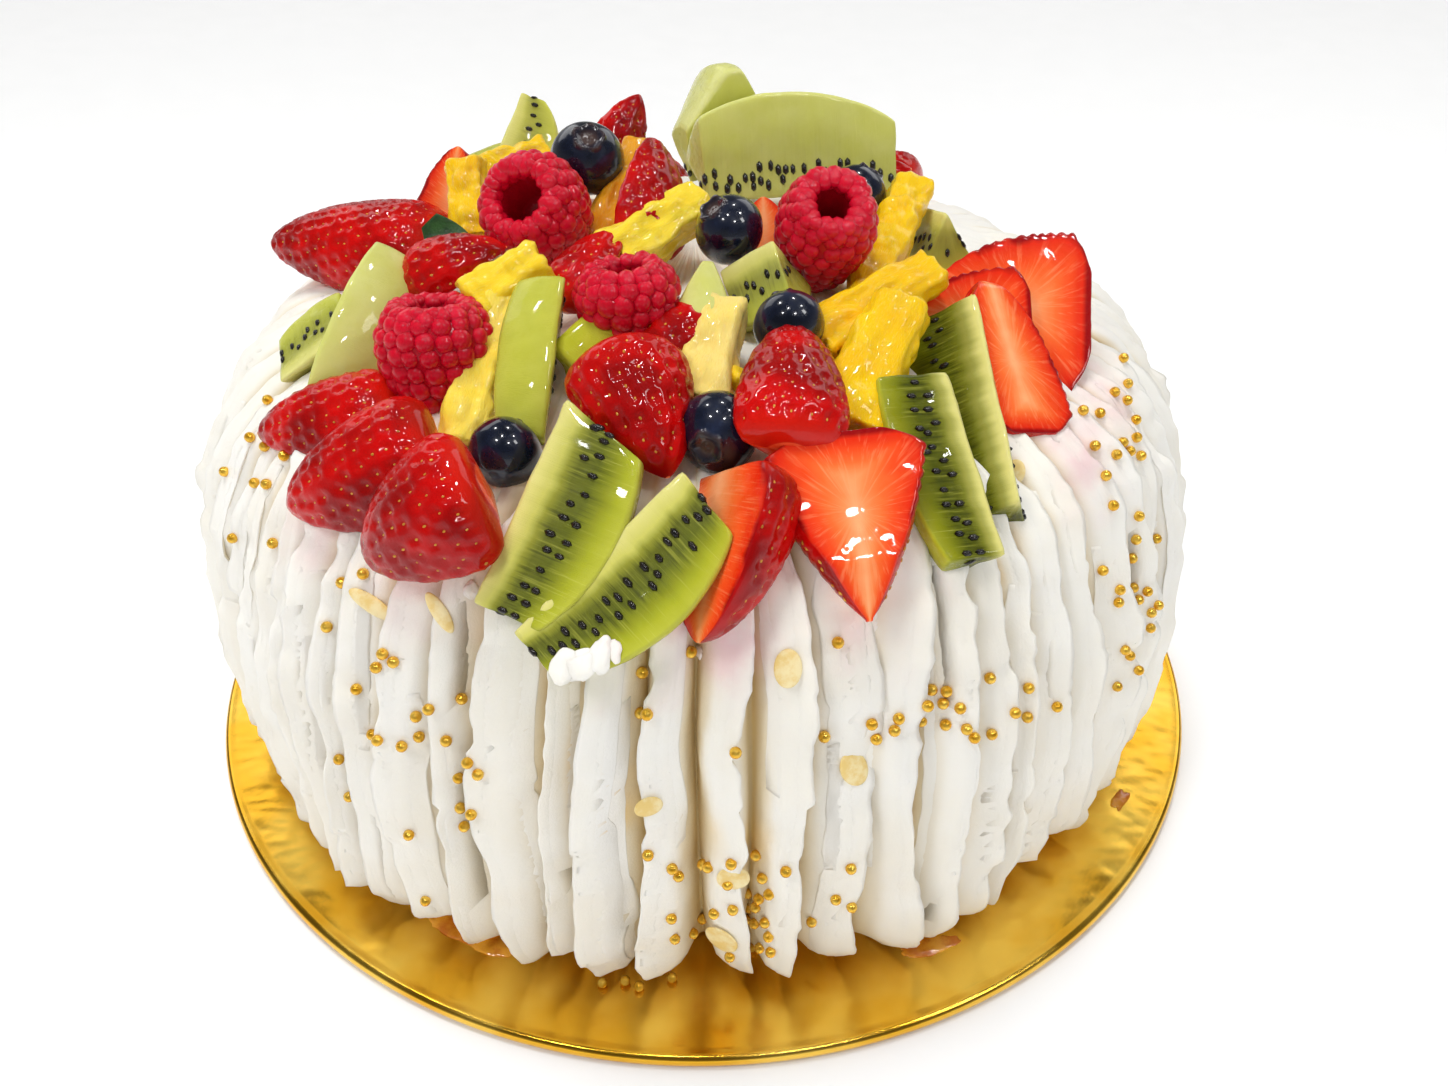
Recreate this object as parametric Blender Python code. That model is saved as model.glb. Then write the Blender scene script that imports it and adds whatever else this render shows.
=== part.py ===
"""A round cream cake on a gold card board, piped with upright strokes and crowned with a heap of cut fruit.

Metres, +Z up. The origin is the middle of the board's underside and the shown front faces -Y.
The fruit table gives points in millimetres, as they were measured over the cake.
"""
import math
import random

import bmesh
import bpy
from mathutils import Matrix, Vector, noise
from mathutils.bvhtree import BVHTree

MM = 0.001
TAU = 2.0 * math.pi
SEED = 7

# Card board
BOARD_RADIUS = 0.125
BOARD_THICKNESS = 0.003
BOARD_EDGE = 0.0008
BOARD_SIDES = 64

# Cream: the crest line from the foot over the shoulder to the top, as (radius, height)
CREAM_CENTRE = Vector((-0.0015, 0.0, 0.0))
CREAM_LINE = (
    (0.1095, 0.0033), (0.1140, 0.0125), (0.1150, 0.0360), (0.1135, 0.0540), (0.1108, 0.0680),
    (0.1070, 0.0800), (0.1020, 0.0890), (0.0950, 0.0960), (0.0860, 0.1010), (0.0740, 0.1040),
)
# How deep the groove between two strokes is at each of those points
GROOVE_DEPTH = (0.0060, 0.0068, 0.0068, 0.0066, 0.0062, 0.0056, 0.0048, 0.0036, 0.0022, 0.0008)
STROKE_COUNT = 84
# Place of a stroke's crest off its middle, as a share of its width, towards the nearer side of the cake
CREST_OFFSET = 0.2
MOUND_RISE = 0.009
MOUND_RINGS = ((0.056, 42), (0.030, 21))

# Small toppings
PEARL_RADIUS = 0.0010
PEARL_COUNT = 52
PEARL_SPACING = 0.0085
PEARL_LOWEST = 0.020
PEARL_HIGHEST = 0.084
FLAKE_LENGTH = 0.0085
FLAKE_WIDTH = 0.0060
FLAKE_THICKNESS = 0.0011
FLAKE_PLACES = ((-129.0, 0.078), (-111.0, 0.062), (-83.5, 0.085), (-75.0, 0.060), (-24.0, 0.080), (98.0, 0.066))

# Clearance between two touching pieces
GAP = 0.0003
CREAM_GAP = 0.0009
VIEW_SIDE = Vector((0.0, -0.81, 0.58))

# Colours (linear) and roughness of each kind of piece
FINISHES = {
    "board": ((0.72, 0.42, 0.07), 0.22, 1.0),
    "cream": ((0.90, 0.88, 0.82), 0.55, 0.0),
    "strawberry": ((0.62, 0.02, 0.015), 0.25, 0.0),
    "raspberry": ((0.55, 0.02, 0.06), 0.35, 0.0),
    "blueberry": ((0.012, 0.018, 0.045), 0.22, 0.0),
    "kiwi": ((0.42, 0.52, 0.06), 0.28, 0.0),
    "pineapple": ((0.90, 0.62, 0.07), 0.35, 0.0),
    "leaf": ((0.02, 0.06, 0.01), 0.45, 0.0),
}

# Strawberry pieces: name, leaf end, tip, skin side, wedge angle, radius
STRAWBERRY_WEDGES = (
    ("strawberry_left_tip", (-57, 0, 106.5), (-98, 9, 108.5), (0.0, -0.62, 0.78), 150, 13.5),
    ("strawberry_back_left", (-59, 7, 106), (-54, 16, 128), (0.45, 0.85, -0.15), 180, 11.0),
    ("strawberry_sliver", (-54, -24, 110), (-37, -27, 121), (-0.3, -0.62, 0.73), 100, 10.0),
    ("strawberry_back_tip", (-25, 38, 113), (-15, 41, 133), (0.1, -0.85, 0.4), 120, 9.5),
    ("strawberry_upright", (-15, -18, 116), (-10, 2, 133.5), (0.6, -0.62, 0.5), 95, 12.0),
    ("strawberry_between", (-25, -37, 111.5), (-15, -24, 123), (-0.1, -0.6, 0.77), 100, 8.5),
    ("strawberry_left_1", (-53, -57, 98), (-83, -53, 94.5), (-0.05, -0.62, 0.78), 110, 11.5),
    ("strawberry_left_2", (-43, -71, 99.5), (-71, -75, 92.5), (-0.1, -0.72, 0.68), 125, 13.5),
    ("strawberry_left_3", (-32, -86, 102), (-53.5, -90, 92), (-0.15, -0.72, 0.68), 130, 13.5),
    ("strawberry_middle", (-13, -64, 113), (-4, -84, 104), (0.15, -0.5, 0.85), 150, 11.5),
    ("strawberry_dark", (-7, -54, 110), (6, -50, 117), (0.0, -0.62, 0.78), 110, 9.0),
    ("strawberry_up", (15, -81, 105), (17, -55, 117), (0.05, -0.5, 0.85), 110, 12.0),
    ("strawberry_half", (5, -85, 106), (1, -106, 88), (0.72, 0.15, -0.55), 180, 13.5),
    ("strawberry_far_right", (28, 33, 109), (49, 27, 119.5), (0.1, -0.5, 0.85), 140, 9.0),
    ("strawberry_peach", (14, -19, 109), (13, -9, 125), (0.1, 0.85, -0.4), 180, 8.5),
    ("strawberry_rear_left", (-24, 83, 97), (-5, 62, 104), (-0.1, 0.5, 0.85), 150, 12.0),
    ("strawberry_rear_right", (54, 58, 101), (33, 70, 104), (0.1, 0.5, 0.85), 150, 12.5),
)
# Strawberry slices: name, leaf end, tip, face that shows, thickness, radius,
# and the two powers that say how its outline falls to the tip
STRAWBERRY_SLICES = (
    ("strawberry_slice_front", (23.5, -80, 109), (27.5, -103, 90), (0.05, -0.66, 0.75), 8.0, 14.0, 1.4, 0.8),
    ("strawberry_slice_right_1", (63.5, -39, 110), (39, -38, 109), (0.35, -0.62, 0.7), 5.0, 11.5, 2.6, 0.6),
    ("strawberry_slice_right_2", (59.5, -62, 98.5), (53.5, -36, 117.5), (0.42, -0.6, 0.68), 5.0, 10.5, 3.0, 0.6),
    ("strawberry_slice_right_3", (76.5, -32, 108), (44, -30, 111), (0.35, -0.62, 0.7), 6.0, 17.5, 2.3, 0.7),
)
# Raspberries: name, middle, way the hollow faces, diameter, height
RASPBERRIES = (
    ("raspberry_back", (-32, -14, 123), (-0.3, -0.75, 0.6), 22.0, 20.5),
    ("raspberry_left", (-47, -52, 108.5), (0.0, 0.2, 0.98), 21.5, 22.0),
    ("raspberry_middle", (-12, -49, 118), (-0.1, 0.1, 0.98), 18.8, 15.5),
    ("raspberry_right", (24, -26, 122.5), (0.1, -0.6, 0.8), 19.0, 25.0),
)
# Blueberries: name, middle, way the crown faces, diameter
BLUEBERRIES = (
    ("blueberry_top", (-24, 3, 129), (0.15, -0.55, 0.82), 15.6),
    ("blueberry_centre", (6, -27, 124.5), (-0.55, -0.25, 0.8), 13.6),
    ("blueberry_right", (16.5, -53, 116.5), (-0.2, 0.8, 0.5), 12.8),
    ("blueberry_front", (4, -76, 108), (-0.3, -0.92, 0.05), 13.8),
    ("blueberry_left", (-31.5, -76, 104), (0.3, 0.9, 0.2), 12.4),
    ("blueberry_hidden", (33, -3, 123.5), (0.5, 0.3, 0.8), 12.5),
)
# Kiwi wedges: name, core line's two ends, skin side, wedge angle, radius,
# the two ends along the fruit, how far the end cuts slant, and a knife-cut outline where it isn't round
KIWI_WEDGES = (
    ("kiwi_back_left", (-55, 36, 111), (-45, 51, 131), (0.85, 0.15, -0.4), 56, 15.0, (-0.6, 0.98)),
    ("kiwi_peak", (-3, 24, 117), (13, 31, 119), (0.05, 0.33, 0.94), 56, 25.0, (-0.9, 0.62), 0.0,
     (0.52, 0.66, 0.82, 0.97, 0.96, 0.70)),
    ("kiwi_dome", (1, 4.5, 119), (45, 17.5, 117.5), (-0.2, 0.7, 0.65), 52, 22.5, (-0.66, 0.8)),
    ("kiwi_left", (-74.5, -45, 93.5), (-65.5, -17, 111), (0.5, -0.6, 0.5), 52, 17.0, (-0.7, 0.7)),
    ("kiwi_far_left", (-80.5, -44, 100.5), (-67, -42, 109.5), (0.0, 0.97, -0.1), 50, 16.5, (-0.6, 0.5)),
    ("kiwi_smooth", (-27, -67, 96), (-25, -41, 114), (-0.25, -0.55, 0.78), 48, 14.0, (-0.7, 0.6)),
    ("kiwi_tucked", (-23, -56, 107), (-12, -46, 113), (0.1, -0.6, 0.75), 60, 9.5, (-0.4, 0.4)),
    ("kiwi_point", (4, -34, 119), (14, -36, 126), (0.2, -0.25, -0.93), 64, 14.0, (-0.4, 0.3)),
    ("kiwi_tooth", (1, -50, 112), (2, -41, 123), (0.0, -0.8, 0.35), 84, 9.5, (-0.3, 1.0), 0.0,
     (0.98, 0.88, 0.74, 0.57, 0.38, 0.16)),
    ("kiwi_right_tip", (51, -10, 122), (46, 8, 118), (0.1, -0.2, -0.95), 58, 14.5, (-0.4, 0.6)),
    ("kiwi_front_left", (-34.3, -100.6, 91.8), (-20.2, -78.6, 115.8), (0.82, -0.15, -0.55), 54, 18.0, (-0.8, 0.5), -0.3),
    ("kiwi_front", (-27.5, -105, 89.5), (-1.5, -90, 109.5), (0.84, -0.09, -0.52), 50, 17.0, (-0.9, 0.7), -0.1),
    ("kiwi_right_back", (54, -82.5, 98.5), (51, -44, 119), (-0.28, 0.8, -0.5), 74, 19.0, (-0.75, 0.45)),
    ("kiwi_right_front", (50.5, -91, 94), (43.5, -63, 112.5), (-0.91, -0.05, -0.27), 54, 14.5, (-0.75, 0.4)),
    ("kiwi_rear_left", (-66, 50, 97), (-38, 71, 100), (-0.2, 0.45, 0.85), 60, 17.0, (-0.7, 0.7)),
    ("kiwi_rear_right", (4, 78, 101), (34, 62, 106), (-0.1, 0.4, 0.9), 60, 18.0, (-0.7, 0.7)),
)
# Pineapple pieces: name, two ends, side that shows, width, thickness, narrowing
PINEAPPLE_CHUNKS = (
    ("pineapple_back_left", (-54, 17, 118), (-36, 27, 122), (0.0, -0.6, 0.8), 11.0, 11.0, 0.8),
    ("pineapple_stub", (-48, -8, 114), (-51, 8, 126), (-0.1, -0.75, 0.5), 9.0, 8.0, 0.9),
    ("pineapple_amber", (-21, -11, 115), (-13, 11, 129), (0.1, -0.7, 0.6), 10.0, 8.0, 0.8),
    ("pineapple_centre", (-17, -27, 118), (0, -13, 125), (0.2, -0.65, 0.75), 12.0, 12.0, 0.75),
    ("pineapple_left", (-45, -46, 114), (-29, -36, 121), (-0.2, -0.6, 0.75), 12.0, 10.0, 0.8),
    ("pineapple_stick", (-41, -70, 101), (-36, -43, 116), (0.1, -0.55, 0.8), 9.0, 8.0, 0.9),
    ("pineapple_pale", (1, -68, 108), (5, -49, 119), (-0.1, -0.6, 0.8), 11.5, 9.0, 0.7),
    ("pineapple_right_1", (32, -35, 112), (45, 1, 123.5), (0.0, -0.6, 0.8), 9.5, 9.0, 0.85),
    ("pineapple_right_2", (21, -51, 112), (44, -35, 119), (0.1, -0.6, 0.8), 11.0, 9.5, 0.8),
    ("pineapple_right_3", (25, -71, 105), (37, -47, 117), (0.0, -0.6, 0.8), 14.0, 11.0, 0.8),
)
LEAF_MIDDLE = (-50, -19, 118)
LEAF_SIZE = (9.0, 14.0)
LEAF_THICKNESS = 0.7


def clear_scene():
    for item in list(bpy.data.objects):
        bpy.data.objects.remove(item, do_unlink=True)


def finish_material(name, kind):
    colour, roughness, metallic = FINISHES[kind]
    material = bpy.data.materials.new(name + "_finish")
    material.use_nodes = True
    shader = material.node_tree.nodes["Principled BSDF"]
    shader.inputs["Base Color"].default_value = (*colour, 1.0)
    shader.inputs["Roughness"].default_value = roughness
    shader.inputs["Metallic"].default_value = metallic
    return material


def add_object(name, kind, mesh_builder, matrix=None):
    """Turn a bmesh into a named object of triangles, with its own material."""
    mesh = bpy.data.meshes.new(name)
    bmesh.ops.triangulate(mesh_builder, faces=mesh_builder.faces)
    bmesh.ops.recalc_face_normals(mesh_builder, faces=mesh_builder.faces)
    mesh_builder.to_mesh(mesh)
    mesh_builder.free()
    item = bpy.data.objects.new(name, mesh)
    bpy.context.collection.objects.link(item)
    item.matrix_world = matrix or Matrix.Identity(4)
    mesh.materials.append(finish_material(name, kind))
    return item


def loft(loops, tip_start=False, tip_end=False):
    """Skin a row of closed loops; an end is a flat cap, or a fan to the loop's middle."""
    shape = bmesh.new()
    rows = [[shape.verts.new(point) for point in loop] for loop in loops]
    count = len(loops[0])
    for low, high in zip(rows, rows[1:]):
        for i in range(count):
            j = (i + 1) % count
            shape.faces.new((low[i], low[j], high[j], high[i]))
    for row, fan in ((rows[0], tip_start), (rows[-1], tip_end)):
        if fan:
            middle = shape.verts.new(sum((v.co for v in row), Vector()) / count)
            for i in range(count):
                shape.faces.new((row[i], row[(i + 1) % count], middle))
        else:
            shape.faces.new(row)
    return shape


def frame_between(start, end, side):
    """Matrix whose X runs from start to end, whose Z is turned to side, and the length; in metres."""
    start = Vector(start) * MM
    along = Vector(end) * MM - start
    length = along.length
    along.normalize()
    side = Vector(side)
    up = (side - along * side.dot(along)).normalized()
    across = up.cross(along)
    matrix = Matrix((along, across, up)).transposed().to_4x4()
    matrix.translation = start
    return matrix, length


def turned_ring(radius, height, count, centre=Vector()):
    return [centre + Vector((radius * math.cos(a), radius * math.sin(a), height))
            for a in (TAU * i / count for i in range(count))]


# Board

def build_board():
    loops = [
        turned_ring(BOARD_RADIUS - BOARD_EDGE, 0.0, BOARD_SIDES),
        turned_ring(BOARD_RADIUS, BOARD_EDGE, BOARD_SIDES),
        turned_ring(BOARD_RADIUS, BOARD_THICKNESS - BOARD_EDGE, BOARD_SIDES),
        turned_ring(BOARD_RADIUS - BOARD_EDGE, BOARD_THICKNESS, BOARD_SIDES),
    ]
    board = add_object("cake_board", "board", loft(loops))
    board.data.shade_smooth()
    board.data.set_sharp_from_angle(angle=math.radians(35))
    return board


# Cream

def stroke_columns(draw):
    """Angles of groove and crest for every stroke, each stroke with its own width, lean, depth and sway."""
    widths = [draw.uniform(0.62, 1.38) for _ in range(STROKE_COUNT)]
    scale = TAU / sum(widths)
    columns = []
    angle = 0.0
    for width in widths:
        width *= scale
        sway = draw.uniform(-0.22, 0.22) * width
        phase = draw.uniform(0.0, TAU)
        crest_depth = draw.uniform(-0.1, 0.22)
        groove_depth = draw.uniform(0.75, 1.15)
        foot = draw.uniform(-0.0010, 0.0012)
        columns.append((angle, groove_depth, 0.0, 0.3 * sway, phase))
        lean = 0.5 + math.copysign(CREST_OFFSET, math.cos(angle + 0.5 * width))
        columns.append((angle + lean * width, crest_depth, foot, sway, phase))
        angle += width
    return columns


def cream_point(column, level):
    radius, height = CREAM_LINE[level]
    angle, depth, foot, sway, phase = column
    radius -= depth * GROOVE_DEPTH[level]
    if level in (0, 1):
        radius += foot
    angle += sway * math.sin(phase + height / 0.022)
    return CREAM_CENTRE + Vector((radius * math.cos(angle), radius * math.sin(angle), height))


def mound_height(radius):
    rim_radius, rim_height = CREAM_LINE[-1]
    return rim_height + MOUND_RISE * (1.0 - (radius / rim_radius) ** 2)


def close_mound(shape, rim):
    """Gather the many columns of the rim into a few rings and a middle point."""
    outer = rim
    for radius, count in MOUND_RINGS:
        ring = turned_ring(radius, mound_height(radius), count, CREAM_CENTRE)
        inner = [shape.verts.new(point) for point in ring]
        step = len(outer) // count
        for i in range(count):
            here = outer[i * step:(i + 1) * step] + [outer[(i + 1) * step % len(outer)]]
            for a, b in zip(here, here[1:]):
                shape.faces.new((a, b, inner[i]))
            shape.faces.new((here[-1], inner[(i + 1) % count], inner[i]))
        outer = inner
    middle = shape.verts.new(CREAM_CENTRE + Vector((0.0, 0.0, mound_height(0.0))))
    for i, vert in enumerate(outer):
        shape.faces.new((vert, outer[(i + 1) % len(outer)], middle))


def build_cream(draw):
    columns = stroke_columns(draw)
    shape = bmesh.new()
    rows = [[shape.verts.new(cream_point(column, level)) for column in columns]
            for level in range(len(CREAM_LINE))]
    count = len(columns)
    for low, high in zip(rows, rows[1:]):
        for i in range(count):
            j = (i + 1) % count
            shape.faces.new((low[i], low[j], high[j], high[i]))
    underside = shape.verts.new(CREAM_CENTRE + Vector((0.0, 0.0, CREAM_LINE[0][1])))
    for i, vert in enumerate(rows[0]):
        shape.faces.new((rows[0][(i + 1) % count], vert, underside))
    close_mound(shape, rows[-1])
    return add_object("cream", "cream", shape)


def pearl_places(draw):
    """Angle and height of each pearl: even over the sides, none closer together than the spacing."""
    places = []
    while len(places) < PEARL_COUNT:
        angle = draw.uniform(0.0, TAU)
        height = draw.uniform(PEARL_LOWEST, PEARL_HIGHEST)
        reach = CREAM_LINE[2][0]
        near = (math.hypot((math.remainder(angle - a, TAU)) * reach, height - h) for a, h in places)
        if all(distance > PEARL_SPACING for distance in near):
            places.append((angle, height))
    return places


def side_hit(tree, angle, height):
    """Where a level ray from outside meets the cream, and the way its surface faces."""
    outward = Vector((math.cos(angle), math.sin(angle), 0.0))
    start = CREAM_CENTRE + outward * 2.0 * BOARD_RADIUS + Vector((0.0, 0.0, height))
    point, normal, _, _ = tree.ray_cast(start, -outward)
    return point, normal


def small_toppings(cream, draw):
    """Pearls and almond flakes, half sunk in the cream's sides, in a collection of their own."""
    group = bpy.data.collections.new("small_toppings")
    bpy.context.scene.collection.children.link(group)
    shape = bmesh.new()
    shape.from_mesh(cream.data)
    tree = BVHTree.FromBMesh(shape)
    shape.free()
    for angle, height in pearl_places(draw):
        point, normal = side_hit(tree, angle, height)
        pearl = bmesh.new()
        bmesh.ops.create_uvsphere(pearl, u_segments=5, v_segments=4, radius=PEARL_RADIUS)
        matrix = normal.to_track_quat("Z", "X").to_matrix().to_4x4()
        matrix.translation = point + normal * 0.45 * PEARL_RADIUS
        put_in_group(group, "pearl", pearl, matrix)
    for degrees, height in FLAKE_PLACES:
        point, normal = side_hit(tree, math.radians(degrees), height)
        flake = bmesh.new()
        bmesh.ops.create_cone(flake, cap_ends=True, segments=8, radius1=0.5, radius2=0.46, depth=1.0)
        bmesh.ops.scale(flake, verts=flake.verts, vec=(FLAKE_LENGTH, FLAKE_WIDTH, FLAKE_THICKNESS))
        matrix = normal.to_track_quat("Z", "X").to_matrix().to_4x4() @ Matrix.Rotation(0.25, 4, "X")
        matrix.translation = point
        put_in_group(group, "flake", flake, matrix)
    return group


def put_in_group(group, name, shape, matrix):
    mesh = bpy.data.meshes.new(name)
    shape.to_mesh(mesh)
    shape.free()
    item = bpy.data.objects.new(name, mesh)
    item.matrix_world = matrix
    group.objects.link(item)


def apply_modifiers(item):
    depsgraph = bpy.context.evaluated_depsgraph_get()
    mesh = bpy.data.meshes.new_from_object(item.evaluated_get(depsgraph))
    item.modifiers.clear()
    item.data = mesh


def fuse_toppings(cream, group):
    union = cream.modifiers.new("toppings", "BOOLEAN")
    union.operation = "UNION"
    union.operand_type = "COLLECTION"
    union.collection = group
    apply_modifiers(cream)
    for item in list(group.objects):
        bpy.data.objects.remove(item, do_unlink=True)
    bpy.data.collections.remove(group)


# Fruit

def strawberry_radius(t):
    """Radius over the largest one, from the leaf end (0) to the tip (1)."""
    shoulder = 0.82 + 0.18 * math.sin(min(1.0, t / 0.2) * math.pi / 2.0)
    return max(0.15, (1.0 - min(t, 1.0) ** 1.9) ** 0.8) * shoulder


def slice_radius(t, fall, round_off):
    """The same for a slice, whose leaf end has rounded corners."""
    corner = min(1.0, math.sqrt(0.3 + t / 0.16))
    return max(0.15, (1.0 - min(t, 1.0) ** fall) ** round_off) * corner


def strawberry_wedge(name, base, tip, side, angle, radius):
    matrix, length = frame_between(base, tip, side)
    half = math.radians(angle) / 2.0
    steps = max(4, round(angle / 28))
    loops = []
    for t in (0.0, 0.13, 0.38, 0.62, 0.84, 1.0):
        reach = radius * MM * strawberry_radius(t)
        arc = [-half + 2.0 * half * k / steps for k in range(steps + 1)]
        loop = [Vector((t * length, -reach * math.sin(a), reach * math.cos(a))) for a in arc]
        loop.append(Vector((t * length, 0.0, -0.06 * reach)))
        loops.append(loop)
    return add_object(name, "strawberry", loft(loops), matrix)


def strawberry_slice(name, base, tip, face, thickness, radius, fall, round_off):
    matrix, length = frame_between(base, tip, face)
    loops = []
    for t in (0.0, 0.04, 0.12, 0.35, 0.6, 0.82, 1.0):
        reach = radius * MM * slice_radius(t, fall, round_off)
        rise = min(thickness * MM / 2.0, 0.62 * reach)
        flat = math.sqrt(reach ** 2 - rise ** 2)
        outline = ((-flat, -rise), (flat, -rise), (reach, 0.0), (flat, rise), (-flat, rise), (-reach, 0.0))
        loops.append([Vector((t * length, y, z)) for y, z in outline])
    return add_object(name, "strawberry", loft(loops), matrix)


def kiwi_wedge(name, start, end, side, angle, radius, ends, slant=0.0, knife=None):
    matrix, length = frame_between(start, end, side)
    half = math.radians(angle) / 2.0
    loops = []
    for k in range(6):
        place = ends[0] + (ends[1] - ends[0]) * k / 5
        outline = knife[k] if knife else math.sqrt(1.0 - (0.92 * place) ** 2)
        reach = radius * MM * outline
        arc = [half * (2.0 * i / 4 - 1.0) for i in range(5)]
        shift = slant * reach * k / 5
        loop = [Vector((k * length / 5 + shift, -reach * math.sin(a), reach * math.cos(a))) for a in arc]
        loop.append(Vector((k * length / 5, 0.0, 0.0)))
        loops.append(loop)
    return add_object(name, "kiwi", loft(loops), matrix)


def pineapple_chunk(name, start, end, side, width, thickness, narrowing):
    matrix, length = frame_between(start, end, side)
    seed = Vector(start) * 0.37
    loops = []
    for k in range(5):
        t = k / 4
        taper = 1.0 + (narrowing - 1.0) * t
        loop = []
        for i in range(8):
            a = TAU * (i + 0.5) / 8
            square = 1.0 / max(abs(math.cos(a)), abs(math.sin(a)))
            round_off = 0.9 if i % 2 else 1.0
            point = Vector((t * length, 0.5 * width * MM * taper * square * round_off * math.cos(a),
                            0.5 * thickness * MM * taper * square * round_off * math.sin(a)))
            point += 0.9 * MM * noise.noise_vector(point / (5.0 * MM) + seed)
            loop.append(point)
        loops.append(loop)
    return add_object(name, "pineapple", loft(loops), matrix)


def raspberry(name, middle, hollow, diameter, height):
    """Rows of drupelets as bumps that alternate from row to row, round an open hollow."""
    hollow = Vector(hollow).normalized()
    matrix = hollow.to_track_quat("Z", "Y").to_matrix().to_4x4()
    matrix.translation = Vector(middle) * MM
    radius = 0.5 * diameter * MM
    height = height * MM
    outline = ((0.36, -0.50), (0.66, -0.38), (0.86, -0.18), (0.97, 0.04), (1.00, 0.24), (0.84, 0.42),
               (0.60, 0.50), (0.42, 0.38), (0.34, -0.05))
    loops = []
    for row, (reach, level) in enumerate(outline):
        loop = turned_ring(radius * reach, height * level, 12)
        if 0 < row < 7:
            for i, point in enumerate(loop):
                bump = 1.05 if (i + row) % 2 else 0.94
                point.x *= bump
                point.y *= bump
        loops.append(loop)
    return add_object(name, "raspberry", loft(loops, tip_start=True, tip_end=True), matrix)


def blueberry(name, middle, crown, diameter):
    """A ball a little wider than tall, with a small raised crown round a sunk scar."""
    matrix = Vector(crown).to_track_quat("Z", "Y").to_matrix().to_4x4()
    matrix.translation = Vector(middle) * MM
    radius = 0.5 * diameter * MM
    loops = []
    for degrees in (-66, -40, -14, 12, 38, 60):
        a = math.radians(degrees)
        loops.append(turned_ring(radius * math.cos(a), 0.93 * radius * math.sin(a), 10))
    for reach, level in ((0.38, 0.90), (0.26, 0.80)):
        loops.append(turned_ring(radius * reach, radius * level, 10))
    return add_object(name, "blueberry", loft(loops, tip_start=True, tip_end=True), matrix)


def build_leaf():
    """A thin wavy scrap of leaf, both faces split into triangles alike."""
    shape = bmesh.new()
    sheets = []
    for lift in (0.0, LEAF_THICKNESS):
        grid = []
        for i in range(4):
            for j in range(3):
                x = LEAF_SIZE[0] * (j / 2 - 0.5) * math.sin(math.pi * (i + 0.7) / 4.4)
                y = LEAF_SIZE[1] * (i / 3 - 0.5)
                wave = 1.1 * math.sin(1.7 * i + 0.9 * j)
                grid.append(shape.verts.new(Vector((x, y, wave + lift)) * MM))
        sheets.append(grid)
    low, high = sheets
    for i in range(3):
        for j in range(2):
            a, b, c, d = i * 3 + j, i * 3 + j + 1, i * 3 + j + 4, i * 3 + j + 3
            for one, two, three in ((a, b, c), (a, c, d)):
                shape.faces.new((low[three], low[two], low[one]))
                shape.faces.new((high[one], high[two], high[three]))
    rim = [0, 1, 2, 5, 8, 11, 10, 9, 6, 3]
    for a, b in zip(rim, rim[1:] + rim[:1]):
        shape.faces.new((low[a], low[b], high[b], high[a]))
    matrix = Matrix.Rotation(0.9, 4, "X") @ Matrix.Rotation(0.7, 4, "Z")
    matrix.translation = Vector(LEAF_MIDDLE) * MM
    return add_object("leaf_scrap", "leaf", shape, matrix)


def nearness(item):
    """How near the middle of a piece is to a viewer in front and above."""
    middle = sum((Vector(corner) for corner in item.bound_box), Vector()) / 8.0
    return (item.matrix_world @ middle).dot(VIEW_SIDE)


def build_fruit():
    """All pieces: whole berries first, then cut fruit from front to back."""
    berries = [raspberry(*row) for row in RASPBERRIES]
    berries += [blueberry(*row) for row in BLUEBERRIES]
    cut = [strawberry_slice(*row) for row in STRAWBERRY_SLICES]
    cut += [kiwi_wedge(*row) for row in KIWI_WEDGES]
    cut += [strawberry_wedge(*row) for row in STRAWBERRY_WEDGES]
    cut += [pineapple_chunk(*row) for row in PINEAPPLE_CHUNKS]
    cut.append(build_leaf())
    cut.sort(key=nearness, reverse=True)
    return berries + cut


# Clearance

def world_tree(item):
    shape = bmesh.new()
    shape.from_mesh(item.data)
    shape.transform(item.matrix_world)
    tree = BVHTree.FromBMesh(shape)
    shape.free()
    return tree


def grown_copy(item, gap):
    """A cutter: the piece with its surface moved out by the gap, and a whole berry without its hollow."""
    shape = bmesh.new()
    if item.name.startswith(("raspberry", "blueberry")):
        for vert in item.data.vertices:
            shape.verts.new(vert.co)
        hull = bmesh.ops.convex_hull(shape, input=shape.verts)
        inside = {part for part in hull["geom_interior"] if isinstance(part, bmesh.types.BMVert)}
        bmesh.ops.delete(shape, geom=list(inside), context="VERTS")
        bmesh.ops.recalc_face_normals(shape, faces=shape.faces)
    else:
        shape.from_mesh(item.data)
    shape.normal_update()
    offsets = [(vert, vert.normal * gap * min(2.5, vert.calc_shell_factor())) for vert in shape.verts]
    for vert, offset in offsets:
        vert.co += offset
    mesh = bpy.data.meshes.new("cutter")
    shape.to_mesh(mesh)
    shape.free()
    cutter = bpy.data.objects.new("cutter", mesh)
    cutter.matrix_world = item.matrix_world
    cutter.hide_render = True
    cutter.display_type = "WIRE"
    bpy.context.collection.objects.link(cutter)
    return cutter


def subtract(item, cutter):
    cut = item.modifiers.new("clear", "BOOLEAN")
    cut.operation = "DIFFERENCE"
    cut.object = cutter
    apply_modifiers(item)


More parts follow.
